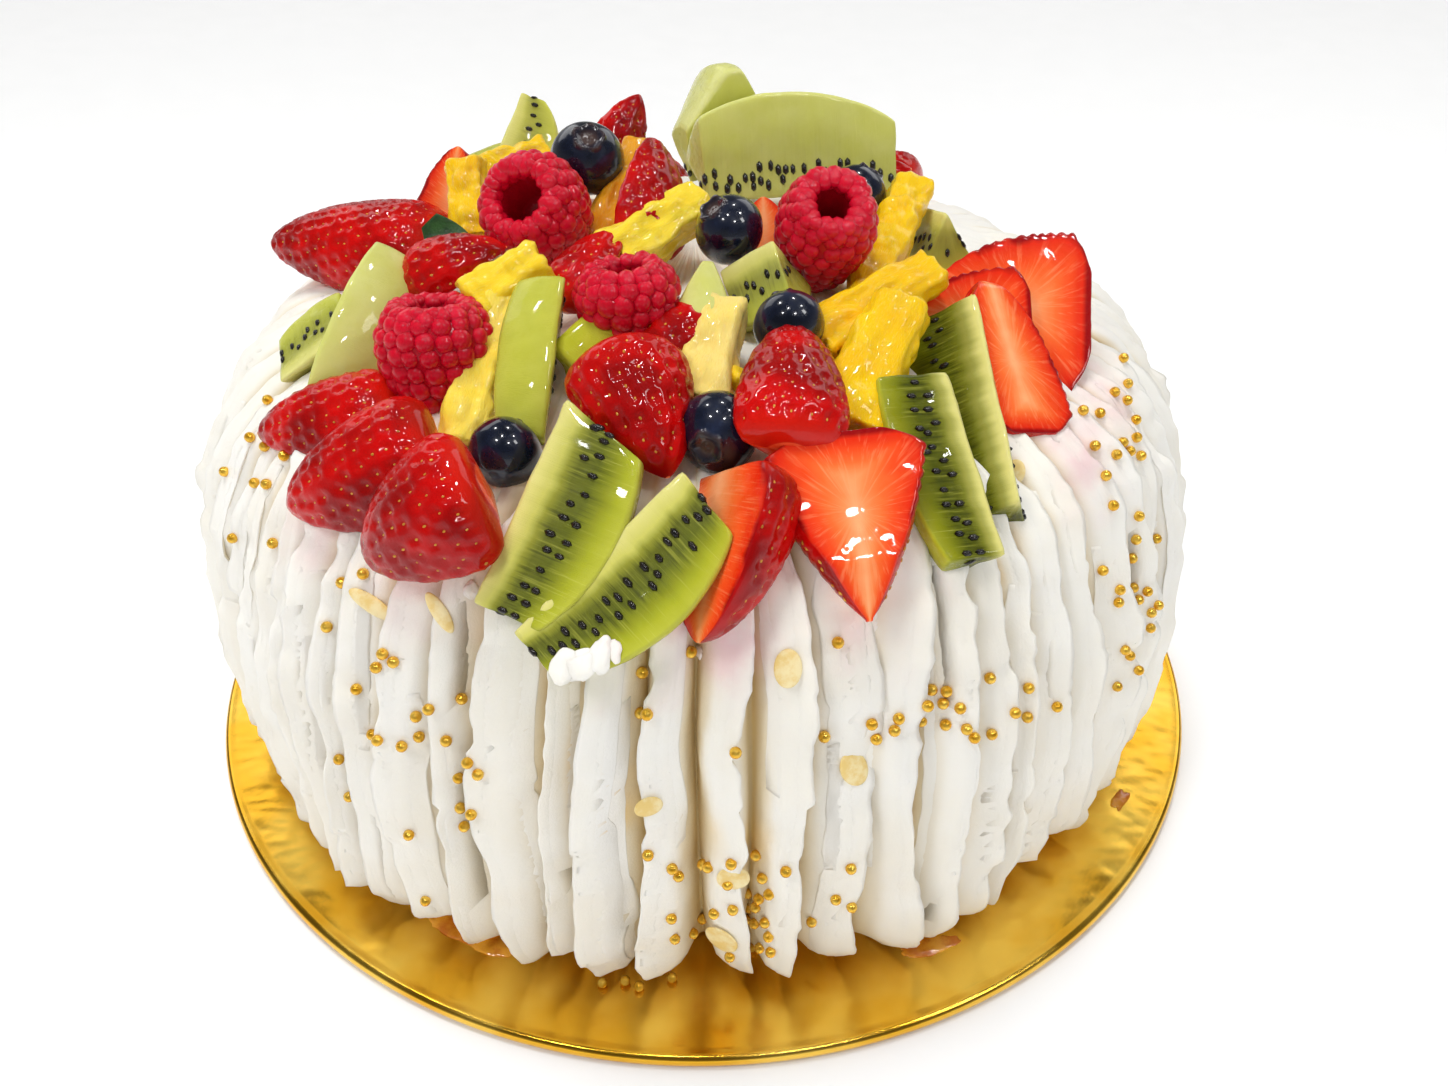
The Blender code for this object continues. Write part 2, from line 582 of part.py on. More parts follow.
def keep_largest(item):
    """Drop loose scraps, so that the piece stays one body."""
    shape = bmesh.new()
    shape.from_mesh(item.data)
    waiting = set(shape.verts)
    bodies = []
    while waiting:
        stack = [waiting.pop()]
        body = set(stack)
        while stack:
            for edge in stack.pop().link_edges:
                for vert in edge.verts:
                    if vert in waiting:
                        waiting.discard(vert)
                        body.add(vert)
                        stack.append(vert)
        bodies.append(body)
    bodies.sort(key=len, reverse=True)
    loose = [vert for body in bodies[1:] for vert in body]
    bmesh.ops.delete(shape, geom=loose, context="VERTS")
    bmesh.ops.triangulate(shape, faces=shape.faces)
    shape.to_mesh(item.data)
    shape.free()


def cream_cutter():
    """The cream's crest surface, moved out by its gap and closed underneath."""
    sides = 48
    spread = CREAM_GAP + CREAM_LINE[0][0] * (1.0 / math.cos(math.pi / sides) - 1.0)
    loops = [turned_ring(radius + spread, height + CREAM_GAP, sides, CREAM_CENTRE)
             for radius, height in CREAM_LINE[3:]]
    for radius, _ in MOUND_RINGS:
        loops.append(turned_ring(radius, mound_height(radius) + CREAM_GAP, sides, CREAM_CENTRE))
    shape = loft(loops, tip_end=True)
    cutter = add_object("cream_cutter", "cream", shape)
    cutter.hide_render = True
    cutter.display_type = "WIRE"
    return cutter


def clear_pieces(pieces):
    """Trim each piece by the cream and by every earlier piece that it meets."""
    ground = cream_cutter()
    done = []
    for item in pieces:
        if world_tree(item).overlap(world_tree(ground)):
            subtract(item, ground)
        for other, other_tree in done:
            if not world_tree(item).overlap(other_tree):
                continue
            cutter = grown_copy(other, GAP)
            subtract(item, cutter)
            bpy.data.objects.remove(cutter, do_unlink=True)
        keep_largest(item)
        grown = grown_copy(item, GAP)
        done.append((item, world_tree(grown)))
        bpy.data.objects.remove(grown, do_unlink=True)
    bpy.data.objects.remove(ground, do_unlink=True)


def main():
    clear_scene()
    noise.seed_set(SEED)
    draw = random.Random(SEED)
    build_board()
    cream = build_cream(draw)
    fuse_toppings(cream, small_toppings(cream, draw))
    pieces = build_fruit()
    clear_pieces(pieces)
    for item in pieces + [cream]:
        item.data.shade_smooth()
        item.data.set_sharp_from_angle(angle=math.radians(38))


main()
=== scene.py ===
"""Looks of the fruit cake on its gold board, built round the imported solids.

Metres, +Z up, the board's underside at z = 0 and the shown front towards -Y. The fruit table gives
millimetres, as the solids' source does. Pieces are built as grids of points and then turned into meshes.
"""
import math
import random

import bpy
import numpy as np
from mathutils import Matrix, Vector, noise


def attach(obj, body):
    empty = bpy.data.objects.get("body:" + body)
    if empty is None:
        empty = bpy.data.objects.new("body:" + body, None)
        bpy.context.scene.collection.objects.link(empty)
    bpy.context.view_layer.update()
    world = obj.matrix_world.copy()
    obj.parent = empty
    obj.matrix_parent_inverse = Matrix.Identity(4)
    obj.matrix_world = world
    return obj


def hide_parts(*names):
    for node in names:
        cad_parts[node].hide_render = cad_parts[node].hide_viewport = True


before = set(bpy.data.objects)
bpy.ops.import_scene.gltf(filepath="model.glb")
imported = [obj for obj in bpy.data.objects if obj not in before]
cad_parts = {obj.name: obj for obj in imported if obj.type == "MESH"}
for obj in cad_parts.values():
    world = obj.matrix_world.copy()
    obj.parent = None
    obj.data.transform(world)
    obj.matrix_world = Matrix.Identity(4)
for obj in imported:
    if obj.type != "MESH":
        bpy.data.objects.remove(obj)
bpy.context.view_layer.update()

MM = 0.001
TAU = 2.0 * math.pi
# Where the noise and each kind of random draw start; the pieces of fruit add their own number
SEED = 7
DRAWS = {
    "ribbons": 7, "habits": 8, "folds": 31, "crumbs": 23, "pearls": 17, "bits": 29,
    "wedges": 100, "slices": 200, "kiwi": 300, "raspberries": 400,
}

# Camera: the photograph's size in pixels, and the view fitted to the board and the cake
PHOTO_SIZE = (1448, 1086)
FOCAL_PIXELS = 1100.0
SENSOR = 36.0
CAMERA_PLACE = Vector((0.005, -0.234, 0.199))
CAMERA_TILT = math.radians(35.7)

BOARD_TOP = 0.003

CREAM_CENTRE = np.array((-0.0015, 0.0, 0.0))
CREAM_LINE = (
    (0.1095, 0.0033), (0.1140, 0.0125), (0.1150, 0.0360), (0.1135, 0.0540), (0.1108, 0.0680),
    (0.1070, 0.0800), (0.1020, 0.0890), (0.0950, 0.0960), (0.0860, 0.1010), (0.0740, 0.1040),
)
GROOVE_DEPTH = (0.0115, 0.0112, 0.0104, 0.0100, 0.0095, 0.0088, 0.0076, 0.0056, 0.0032, 0.0010)
STROKE_COUNT = 84
MOUND_RISE = 0.009

# Strawberry pieces: name, leaf end, tip, skin side, wedge angle, radius
STRAWBERRY_WEDGES = (
    ("strawberry_left_tip", (-57, 0, 106.5), (-98, 9, 108.5), (0.0, -0.62, 0.78), 150, 13.5),
    ("strawberry_back_left", (-59, 7, 106), (-54, 16, 128), (0.45, 0.85, -0.15), 180, 11.0),
    ("strawberry_sliver", (-54, -24, 110), (-37, -27, 121), (-0.3, -0.62, 0.73), 100, 10.0),
    ("strawberry_back_tip", (-25, 38, 113), (-15, 41, 133), (0.1, -0.85, 0.4), 120, 9.5),
    ("strawberry_upright", (-15, -18, 116), (-10, 2, 133.5), (0.6, -0.62, 0.5), 95, 12.0),
    ("strawberry_between", (-25, -37, 111.5), (-15, -24, 123), (-0.1, -0.6, 0.77), 100, 8.5),
    ("strawberry_left_1", (-53, -57, 98), (-83, -53, 94.5), (-0.05, -0.62, 0.78), 110, 11.5),
    ("strawberry_left_2", (-43, -71, 99.5), (-71, -75, 92.5), (-0.1, -0.72, 0.68), 125, 13.5),
    ("strawberry_left_3", (-32, -86, 102), (-53.5, -90, 92), (-0.15, -0.72, 0.68), 130, 13.5),
    ("strawberry_middle", (-13, -64, 113), (-4, -84, 104), (0.15, -0.5, 0.85), 150, 11.5),
    ("strawberry_dark", (-7, -54, 110), (6, -50, 117), (0.0, -0.62, 0.78), 110, 9.0),
    ("strawberry_up", (15, -81, 105), (17, -55, 117), (0.05, -0.5, 0.85), 110, 12.0),
    ("strawberry_half", (5, -85, 106), (1, -106, 88), (0.72, 0.15, -0.55), 180, 13.5),
    ("strawberry_far_right", (28, 33, 109), (49, 27, 119.5), (0.1, -0.5, 0.85), 140, 9.0),
    ("strawberry_peach", (14, -19, 109), (13, -9, 125), (0.1, 0.85, -0.4), 180, 8.5),
    ("strawberry_rear_left", (-24, 83, 97), (-5, 62, 104), (-0.1, 0.5, 0.85), 150, 12.0),
    ("strawberry_rear_right", (54, 58, 101), (33, 70, 104), (0.1, 0.5, 0.85), 150, 12.5),
)
# Strawberry slices: name, leaf end, tip, face that shows, thickness, radius,
# and the two powers that say how its outline falls to the tip
STRAWBERRY_SLICES = (
    ("strawberry_slice_front", (23.5, -80, 109), (27.5, -103, 90), (0.05, -0.66, 0.75), 8.0, 14.0, 1.4, 0.8),
    ("strawberry_slice_right_1", (63.5, -39, 110), (39, -38, 109), (0.35, -0.62, 0.7), 5.0, 11.5, 2.6, 0.6),
    ("strawberry_slice_right_2", (59.5, -62, 98.5), (53.5, -36, 117.5), (0.42, -0.6, 0.68), 5.0, 10.5,
     3.0, 0.6),
    ("strawberry_slice_right_3", (76.5, -32, 108), (44, -30, 111), (0.35, -0.62, 0.7), 6.0, 17.5, 2.3, 0.7),
)
# Raspberries: name, middle, way the hollow faces, diameter, height
RASPBERRIES = (
    ("raspberry_back", (-32, -14, 123), (-0.3, -0.75, 0.6), 22.0, 20.5),
    ("raspberry_left", (-47, -52, 108.5), (0.0, 0.2, 0.98), 21.5, 22.0),
    ("raspberry_middle", (-12, -49, 118), (-0.1, 0.1, 0.98), 18.8, 15.5),
    ("raspberry_right", (24, -26, 122.5), (0.1, -0.6, 0.8), 19.0, 25.0),
)
# Blueberries: name, middle, way the crown faces, diameter
BLUEBERRIES = (
    ("blueberry_top", (-24, 3, 129), (0.15, -0.55, 0.82), 15.6),
    ("blueberry_centre", (6, -27, 124.5), (-0.55, -0.25, 0.8), 13.6),
    ("blueberry_right", (16.5, -53, 116.5), (-0.2, 0.8, 0.5), 12.8),
    ("blueberry_front", (4, -76, 108), (-0.3, -0.92, 0.05), 13.8),
    ("blueberry_left", (-31.5, -76, 104), (0.3, 0.9, 0.2), 12.4),
    ("blueberry_hidden", (33, -3, 123.5), (0.5, 0.3, 0.8), 12.5),
)
# Kiwi wedges: name, core line's two ends, skin side, wedge angle, radius,
# the two ends along the fruit, how far the end cuts slant, and a knife-cut outline where it isn't round
KIWI_WEDGES = (
    ("kiwi_back_left", (-55, 36, 111), (-45, 51, 131), (0.85, 0.15, -0.4), 56, 15.0, (-0.6, 0.98)),
    ("kiwi_peak", (-3, 24, 117), (13, 31, 119), (0.05, 0.33, 0.94), 56, 25.0, (-0.9, 0.62), 0.0,
     (0.52, 0.66, 0.82, 0.97, 0.96, 0.70)),
    ("kiwi_dome", (1, 4.5, 119), (45, 17.5, 117.5), (-0.2, 0.7, 0.65), 52, 22.5, (-0.66, 0.8)),
    ("kiwi_left", (-74.5, -45, 93.5), (-65.5, -17, 111), (0.5, -0.6, 0.5), 52, 17.0, (-0.7, 0.7)),
    ("kiwi_far_left", (-80.5, -44, 100.5), (-67, -42, 109.5), (0.0, 0.97, -0.1), 50, 16.5, (-0.6, 0.5)),
    ("kiwi_smooth", (-27, -67, 96), (-25, -41, 114), (-0.25, -0.55, 0.78), 48, 14.0, (-0.7, 0.6)),
    ("kiwi_tucked", (-23, -56, 107), (-12, -46, 113), (0.1, -0.6, 0.75), 60, 9.5, (-0.4, 0.4)),
    ("kiwi_point", (4, -34, 119), (14, -36, 126), (0.2, -0.25, -0.93), 64, 14.0, (-0.4, 0.3)),
    ("kiwi_tooth", (1, -50, 112), (2, -41, 123), (0.0, -0.8, 0.35), 84, 9.5, (-0.3, 1.0), 0.0,
     (0.98, 0.88, 0.74, 0.57, 0.38, 0.16)),
    ("kiwi_right_tip", (51, -10, 122), (46, 8, 118), (0.1, -0.2, -0.95), 58, 14.5, (-0.4, 0.6)),
    ("kiwi_front_left", (-34.3, -100.6, 91.8), (-20.2, -78.6, 115.8), (0.82, -0.15, -0.55), 54, 18.0,
     (-0.8, 0.5), -0.3),
    ("kiwi_front", (-27.5, -105, 89.5), (-1.5, -90, 109.5), (0.84, -0.09, -0.52), 50, 17.0,
     (-0.9, 0.7), -0.1),
    ("kiwi_right_back", (54, -82.5, 98.5), (51, -44, 119), (-0.28, 0.8, -0.5), 74, 19.0, (-0.75, 0.45)),
    ("kiwi_right_front", (50.5, -91, 94), (43.5, -63, 112.5), (-0.91, -0.05, -0.27), 54, 14.5, (-0.75, 0.4)),
    ("kiwi_rear_left", (-66, 50, 97), (-38, 71, 100), (-0.2, 0.45, 0.85), 60, 17.0, (-0.7, 0.7)),
    ("kiwi_rear_right", (4, 78, 101), (34, 62, 106), (-0.1, 0.4, 0.9), 60, 18.0, (-0.7, 0.7)),
)
# Pineapple pieces: name, two ends, side that shows, width, thickness, narrowing
PINEAPPLE_CHUNKS = (
    ("pineapple_back_left", (-54, 17, 118), (-36, 27, 122), (0.0, -0.6, 0.8), 11.0, 11.0, 0.8),
    ("pineapple_stub", (-48, -8, 114), (-51, 8, 126), (-0.1, -0.75, 0.5), 9.0, 8.0, 0.9),
    ("pineapple_amber", (-21, -11, 115), (-13, 11, 129), (0.1, -0.7, 0.6), 10.0, 8.0, 0.8),
    ("pineapple_centre", (-17, -27, 118), (0, -13, 125), (0.2, -0.65, 0.75), 12.0, 12.0, 0.75),
    ("pineapple_left", (-45, -46, 114), (-29, -36, 121), (-0.2, -0.6, 0.75), 12.0, 10.0, 0.8),
    ("pineapple_stick", (-41, -70, 101), (-36, -43, 116), (0.1, -0.55, 0.8), 9.0, 8.0, 0.9),
    ("pineapple_pale", (1, -68, 108), (5, -49, 119), (-0.1, -0.6, 0.8), 11.5, 9.0, 0.7),
    ("pineapple_right_1", (32, -35, 112), (45, 1, 123.5), (0.0, -0.6, 0.8), 9.5, 9.0, 0.85),
    ("pineapple_right_2", (21, -51, 112), (44, -35, 119), (0.1, -0.6, 0.8), 11.0, 9.5, 0.8),
    ("pineapple_right_3", (25, -71, 105), (37, -47, 117), (0.0, -0.6, 0.8), 14.0, 11.0, 0.8),
)
LEAF_MIDDLE = (-50, -19, 118)
LEAF_SIZE = (9.0, 14.0)
LEAF_THICKNESS = 0.7

# Groups of pearls as the camera sees them: middle and spread in the photograph's pixels, and how many
PEARL_GROUPS = (
    ((425, 745), (26, 24), 12), ((440, 805), (20, 14), 5), ((695, 880), (20, 30), 11),
    ((760, 880), (20, 30), 11), ((765, 930), (14, 28), 8), ((900, 728), (40, 8), 7),
    ((985, 710), (38, 30), 13), ((1130, 600), (16, 60), 17), ((1122, 420), (24, 34), 15),
    ((250, 470), (22, 36), 9), ((330, 610), (60, 40), 4), ((392, 652), (8, 12), 3),
    ((640, 690), (26, 26), 4), ((720, 765), (8, 8), 1), ((837, 635), (5, 5), 1),
    ((845, 890), (12, 10), 3), ((635, 985), (30, 4), 4), ((436, 898), (5, 5), 1),
)
HIDDEN_PEARLS = 60
PEARL_RADIUS = 1.05


# Small tools for arrays

# What keeps layered noise near the range from -1 to 1
LAYERED_SCALE = 1.6


def scatter_value(x, y, z, seed):
    """A fixed value from 0 to 1 for each whole-number place."""
    n = (x * 374761393 + y * 668265263 + z * 1442695041 + seed * 1274126177) & 0xFFFFFFFF
    n = ((n ^ (n >> 13)) * 1274126177) & 0xFFFFFFFF
    return ((n ^ (n >> 16)) & 0xFFFF) / 65535.0


def bumps(points, size, seed=0):
    """Smooth noise from -1 to 1 at the points, with humps of the given size."""
    place = np.asarray(points, float) / size
    low = np.floor(place).astype(np.int64)
    share = place - low
    share = share * share * (3.0 - 2.0 * share)
    total = np.zeros(place.shape[:-1])
    for corner in range(8):
        step = np.array((corner & 1, corner >> 1 & 1, corner >> 2 & 1))
        weight = np.prod(np.where(step, share, 1.0 - share), axis=-1)
        at = low + step
        total += weight * scatter_value(at[..., 0], at[..., 1], at[..., 2], seed)
    return 2.0 * total - 1.0


def layered_bumps(points, size, seed=0, layers=3):
    """The same with finer and weaker humps laid over the large ones."""
    total = np.zeros(np.asarray(points).shape[:-1])
    for k in range(layers):
        total += bumps(points, size / 2 ** k, seed + k) / 2 ** k
    return total / LAYERED_SCALE


def ease(low, high, value):
    """Smooth step from 0 at low to 1 at high."""
    share = np.clip((value - low) / (high - low), 0.0, 1.0)
    return share * share * (3.0 - 2.0 * share)


def smooth_row(values, at):
    """Smooth curve through evenly spaced values, read at the places given in steps."""
    values = np.asarray(values, float)
    last = len(values) - 1
    low = np.clip(np.floor(at).astype(int), 0, last - 1)
    t = at - low
    before, start = values[np.maximum(low - 1, 0)], values[low]
    end, after = values[low + 1], values[np.minimum(low + 2, last)]
    one, two = (end - before) / 2.0, (after - start) / 2.0
    return ((2 * t ** 3 - 3 * t ** 2 + 1) * start + (t ** 3 - 2 * t ** 2 + t) * one
            + (3 * t ** 2 - 2 * t ** 3) * end + (t ** 3 - t ** 2) * two)


# Grids and meshes

def filled_ends(loops, mask, rings=5):
    """Add smaller and smaller loops at both ends, so that each end face has points of its own."""
    shares = [(k + 1) / (rings + 1) for k in range(rings)]
    first, last = loops[0], loops[-1]
    head = [first.mean(0) + (first - first.mean(0)) * s for s in shares]
    tail = [last.mean(0) + (last - last.mean(0)) * s for s in reversed(shares)]
    rows = np.array(head + list(loops) + tail)
    masks = np.zeros(rows.shape[:2])
    masks[rings:rings + len(loops)] = mask
    return rows, masks


def relax(rows, steps):
    """Round off the grid's edges by drawing each point towards its neighbours."""
    for _ in range(steps):
        around = (np.roll(rows, 1, 1) + np.roll(rows, -1, 1)) / 2.0
        along = rows.copy()
        along[1:-1] = (rows[:-2] + rows[2:]) / 2.0
        rows = rows + 0.5 * ((around + along) / 2.0 - rows)
    return rows


def grid_normals(rows):
    """Way the surface faces at each point of a grid, outwards."""
    around = np.roll(rows, -1, 1) - np.roll(rows, 1, 1)
    along = np.gradient(rows, axis=0)
    normal = np.cross(around, along)
    normal /= np.linalg.norm(normal, axis=2, keepdims=True) + 1e-12
    outward = np.sum(normal * (rows - rows.mean((0, 1))), axis=2).mean()
    return normal if outward > 0 else -normal


def grid_faces(row_count, columns):
    """Quads of a closed grid, and the fans that close its two ends at two extra points."""
    row = np.arange(row_count - 1)[:, None]
    column = np.arange(columns)[None, :]
    a = row * columns + column
    b = row * columns + (column + 1) % columns
    quads = np.stack((a, b, b + columns, a + columns), -1).reshape(-1, 4)
    one = np.arange(columns)
    two = (one + 1) % columns
    top = (row_count - 1) * columns
    start, end = row_count * columns, row_count * columns + 1
    fans = np.concatenate((
        np.stack((two, one, np.full(columns, start)), -1),
        np.stack((one + top, two + top, np.full(columns, end)), -1),
    ))
    return quads, fans


def close_grid(rows):
    """Points and faces of a grid with its two end points added."""
    points = np.concatenate((rows.reshape(-1, 3), rows[:1].mean(1), rows[-1:].mean(1)))
    quads, fans = grid_faces(*rows.shape[:2])
    sides = points[quads]
    volume = np.einsum("ij,ij->i", sides[:, 0], np.cross(sides[:, 1], sides[:, 2])).sum()
    volume += np.einsum("ij,ij->i", sides[:, 0], np.cross(sides[:, 2], sides[:, 3])).sum()
    if volume < 0:
        quads, fans = quads[:, ::-1], fans[:, ::-1]
    return points, [quads, fans]


def close_field(values):
    """Values of a grid's points, with those of its two end points added."""
    return np.concatenate((values.reshape(-1), [values[0].mean(), values[-1].mean()]))


class Build:
    """Gathers points and faces for one piece."""

    def __init__(self):
        self.points, self.faces, self.slots, self.fields, self.count = [], [], [], [], 0

    def add(self, points, faces, slot=0, fields=None):
        """Add points and faces with the number of their material and the values that the points carry."""
        self.points.append(points)
        for group in faces:
            self.faces.append(group + self.count)
            self.slots.append(np.full(len(group), slot))
        self.fields.append((len(points), fields or {}))
        self.count += len(points)

    def add_grid(self, rows, place, **fields):
        """Add a closed grid whose points a function puts in their place, with values for its points."""
        points, faces = close_grid(rows)
        self.add(place(points), faces, 0, {key: close_field(values) for key, values in fields.items()})

    def finish(self, name, materials, kind, stands_for=None):
        """Make the mesh, hang it on the root, give it its finish and hide the node that it stands for; kind
        is not used.
        """
        points = np.concatenate(self.points).astype(np.float32)
        mesh = bpy.data.meshes.new(name)
        mesh.vertices.add(len(points))
        mesh.vertices.foreach_set("co", points.ravel())
        corners = np.concatenate([group.ravel() for group in self.faces]).astype(np.int32)
        sizes = np.concatenate([np.full(len(group), group.shape[1]) for group in self.faces])
        mesh.loops.add(len(corners))
        mesh.loops.foreach_set("vertex_index", corners)
        mesh.polygons.add(len(sizes))
        starts = np.concatenate(([0], np.cumsum(sizes)[:-1])).astype(np.int32)
        mesh.polygons.foreach_set("loop_start", starts)
        mesh.polygons.foreach_set("material_index", np.concatenate(self.slots).astype(np.int32))
        mesh.polygons.foreach_set("use_smooth", np.full(len(sizes), True))
        for key in sorted({key for _, fields in self.fields for key in fields}):
            values = [fields.get(key, np.zeros(count)) for count, fields in self.fields]
            layer = mesh.attributes.new(key, "FLOAT", "POINT")
            layer.data.foreach_set("value", np.concatenate(values).astype(np.float32))
        mesh.update(calc_edges=True)
        mesh.validate()
        for material in materials:
            mesh.materials.append(material)
        piece = bpy.data.objects.new(name, mesh)
        bpy.context.scene.collection.objects.link(piece)
        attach(piece, "root")
        if stands_for:
            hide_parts(stands_for)
        return piece


def axes_between(start, end, side):
    """Matrix in millimetres whose X runs from start to end and whose Z is turned to side, and the length."""
    start = np.array(start, float)
    along = np.array(end, float) - start
    length = np.linalg.norm(along)
    along /= length
    side = np.array(side, float)
    up = side - along * side.dot(along)
    up /= np.linalg.norm(up)
    across = np.cross(up, along)
    return start, np.stack((along, across, up)), length


def axes_round(middle, direction):
    """The same kind of matrix for a round piece whose Z is turned to the direction."""
    turn = Vector(direction).to_track_quat("Z", "Y").to_matrix()
    return np.array(middle, float), np.array(turn.transposed())


def to_world(points, start, axes):
    """Points of a piece's own frame in millimetres, as metres of the whole cake's frame."""
    return (start + points @ axes) * MM


def ball(columns, rows):
    """Unit ball as a grid without its poles."""
    level = (np.arange(rows) + 0.5) / rows * math.pi
    angle = np.arange(columns) / columns * TAU
    return np.stack((
        np.sin(level)[:, None] * np.cos(angle)[None, :],
        np.sin(level)[:, None] * np.sin(angle)[None, :],
        np.cos(level)[:, None] * np.ones(columns)[None, :],
    ), -1)


def stick_on(build, slot, template, places, normals, headings, sizes, fields=None):
    """Set a copy of the template at each place: Z along the normal, X along the heading."""
    shape, faces = close_grid(template)
    for n in range(len(places)):
        up = normals[n] / np.linalg.norm(normals[n])
        ahead = headings[n] - up * headings[n].dot(up)
        ahead /= np.linalg.norm(ahead) + 1e-9
        axes = np.stack((ahead, np.cross(up, ahead), up))
        points = (shape * sizes[n]) @ axes + places[n]
        values = {key: np.full(len(points), value[n]) for key, value in (fields or {}).items()}
        build.add(points, faces, slot, values)


# Materials

def screen(red, green, blue):
    """Linear colour of a colour as a screen shows it."""
    return tuple(((c / 255.0 + 0.055) / 1.055) ** 2.4 for c in (red, green, blue)) + (1.0,)


class Finish:
    """A node material, put together a node at a time."""

    def __init__(self, name):
        self.material = bpy.data.materials.new(name)
        self.material.use_nodes = True
        self.tree = self.material.node_tree
        self.shader = self.tree.nodes["Principled BSDF"]

    def node(self, kind, inputs=(), **settings):
        """A new node with its inputs given by name or number, as values or as other nodes' outputs."""
        made = self.tree.nodes.new(kind)
        for key, value in settings.items():
            setattr(made, key, value)
        for key, value in dict(inputs).items():
            self.put(made.inputs[key], value)
        return made

    def put(self, socket, value):
        if isinstance(value, bpy.types.NodeSocket):
            self.tree.links.new(value, socket)
        else:
            socket.default_value = value

    def field(self, name):
        """Value that the mesh carries for each of its points."""
        return self.node("ShaderNodeAttribute", attribute_name=name).outputs["Fac"]

    def place(self):
        return self.node("ShaderNodeTexCoord").outputs["Object"]

    def maths(self, operation, one, two):
        return self.node("ShaderNodeMath", {0: one, 1: two}, operation=operation).outputs[0]

    def times(self, one, two):
        return self.maths("MULTIPLY", one, two)

    def plus(self, one, two):
        return self.maths("ADD", one, two)

    def vector(self, x, y, z=0.0):
        return self.node("ShaderNodeCombineXYZ", {"X": x, "Y": y, "Z": z}).outputs[0]

    def noise(self, vector, scale, detail=3.0, roughness=0.5, distortion=0.0):
        return self.node("ShaderNodeTexNoise", {
            "Vector": vector, "Scale": scale, "Detail": detail, "Roughness": roughness,
            "Distortion": distortion,
        }).outputs["Fac"]

    def ramp(self, value, stops):
        made = self.node("ShaderNodeValToRGB", {"Fac": value})
        elements = made.color_ramp.elements
        while len(elements) < len(stops):
            elements.new(0.5)
        for element, (place, colour) in zip(elements, stops):
            element.position = place
            element.color = colour
        return made.outputs["Color"]

    def mix(self, share, one, two):
        """Mix of two colours; 6 and 7 are the node's colour inputs, and 2 its colour output."""
        made = self.node("ShaderNodeMix", data_type="RGBA")
        self.put(made.inputs["Factor"], share)
        self.put(made.inputs[6], one)
        self.put(made.inputs[7], two)
        return made.outputs[2]

    def span(self, value, low, high, to_low=0.0, to_high=1.0):
        """Smooth step from one value to another while the given value runs from low to high."""
        return self.node("ShaderNodeMapRange", {
            "Value": value, "From Min": low, "From Max": high, "To Min": to_low, "To Max": to_high,
        }, interpolation_type="SMOOTHSTEP").outputs[0]

    def bump(self, height, distance, strength):
        inputs = {"Height": height, "Distance": distance, "Strength": strength}
        return self.node("ShaderNodeBump", inputs).outputs[0]

    def done(self, **values):
        """Set the shader's own sockets, whose names are given with underscores, and return the material."""
        for key, value in values.items():
            self.put(self.shader.inputs[key.replace("_", " ")], value)
        return self.material


def kiwi_finish():
    f = Finish("kiwi_flesh")
    rho, along, around, depth = f.field("rho"), f.field("along"), f.field("around"), f.field("band")
    sway = f.noise(f.vector(along, around), 0.35, 2.0)
    place = f.plus(rho, f.times(f.maths("SUBTRACT", sway, 0.5), 0.14))
    dark = f.ramp(place, (
        (0.0, screen(228, 220, 140)), (0.20, screen(206, 202, 100)), (0.29, screen(140, 142, 44)),
        (0.38, screen(84, 90, 18)), (0.56, screen(78, 88, 12)), (0.70, screen(128, 134, 16)),
        (0.85, screen(172, 176, 30)), (1.0, screen(196, 198, 64)),
    ))
    light = f.ramp(place, (
        (0.0, screen(226, 222, 142)), (0.3, screen(192, 190, 74)), (0.6, screen(184, 184, 48)),
        (1.0, screen(200, 202, 84)),
    ))
    base = f.mix(depth, light, dark)
    base = f.mix(f.times(f.field("deep"), f.span(place, 0.06, 0.2)), base, screen(88, 92, 16))
    rays = f.noise(f.vector(f.times(along, 1.6), around, f.times(rho, 1.2)), 1.3, 3.0, 0.6)
    band = f.times(f.span(place, 0.24, 0.36), f.span(place, 0.78, 0.6))
    pale = f.times(f.span(rays, 0.54, 0.7), band)
    colour = f.mix(f.times(pale, 0.4), base, screen(176, 176, 72))
    shade = f.times(f.span(rays, 0.5, 0.32), f.times(band, f.times(depth, 0.6)))
    colour = f.mix(shade, colour, screen(36, 40, 6))
    streak = f.times(f.span(rays, 0.58, 0.78), f.span(place, 0.6, 0.75))
    colour = f.mix(f.times(streak, 0.4), colour, screen(216, 216, 110))
    skin = f.field("skin")
    outer = f.mix(f.noise(f.place(), 260.0, 4.0), screen(168, 170, 26), screen(198, 198, 66))
    cloudy = f.mix(f.noise(f.place(), 180.0, 3.0), screen(206, 208, 104), screen(226, 226, 160))
    colour = f.mix(skin, colour, f.mix(f.field("pale"), outer, cloudy))
    colour = f.mix(f.times(f.field("pale"), 0.5), colour, cloudy)
    fibre = f.noise(f.vector(f.times(along, 3.0), around, rho), 2.2, 4.0, 0.65)
    wet = f.noise(f.place(), 420.0, 2.0)
    normal = f.bump(f.plus(fibre, wet), 0.0002, 0.5)
    return f.done(Base_Color=colour, Roughness=f.span(wet, 0.35, 0.7, 0.22, 0.42), Normal=normal,
                  Subsurface_Weight=0.2, Subsurface_Radius=(1.0, 1.0, 0.3), Subsurface_Scale=0.0010,
                  Coat_Weight=0.4, Coat_Roughness=0.05, IOR=1.4, Specular_IOR_Level=0.08)


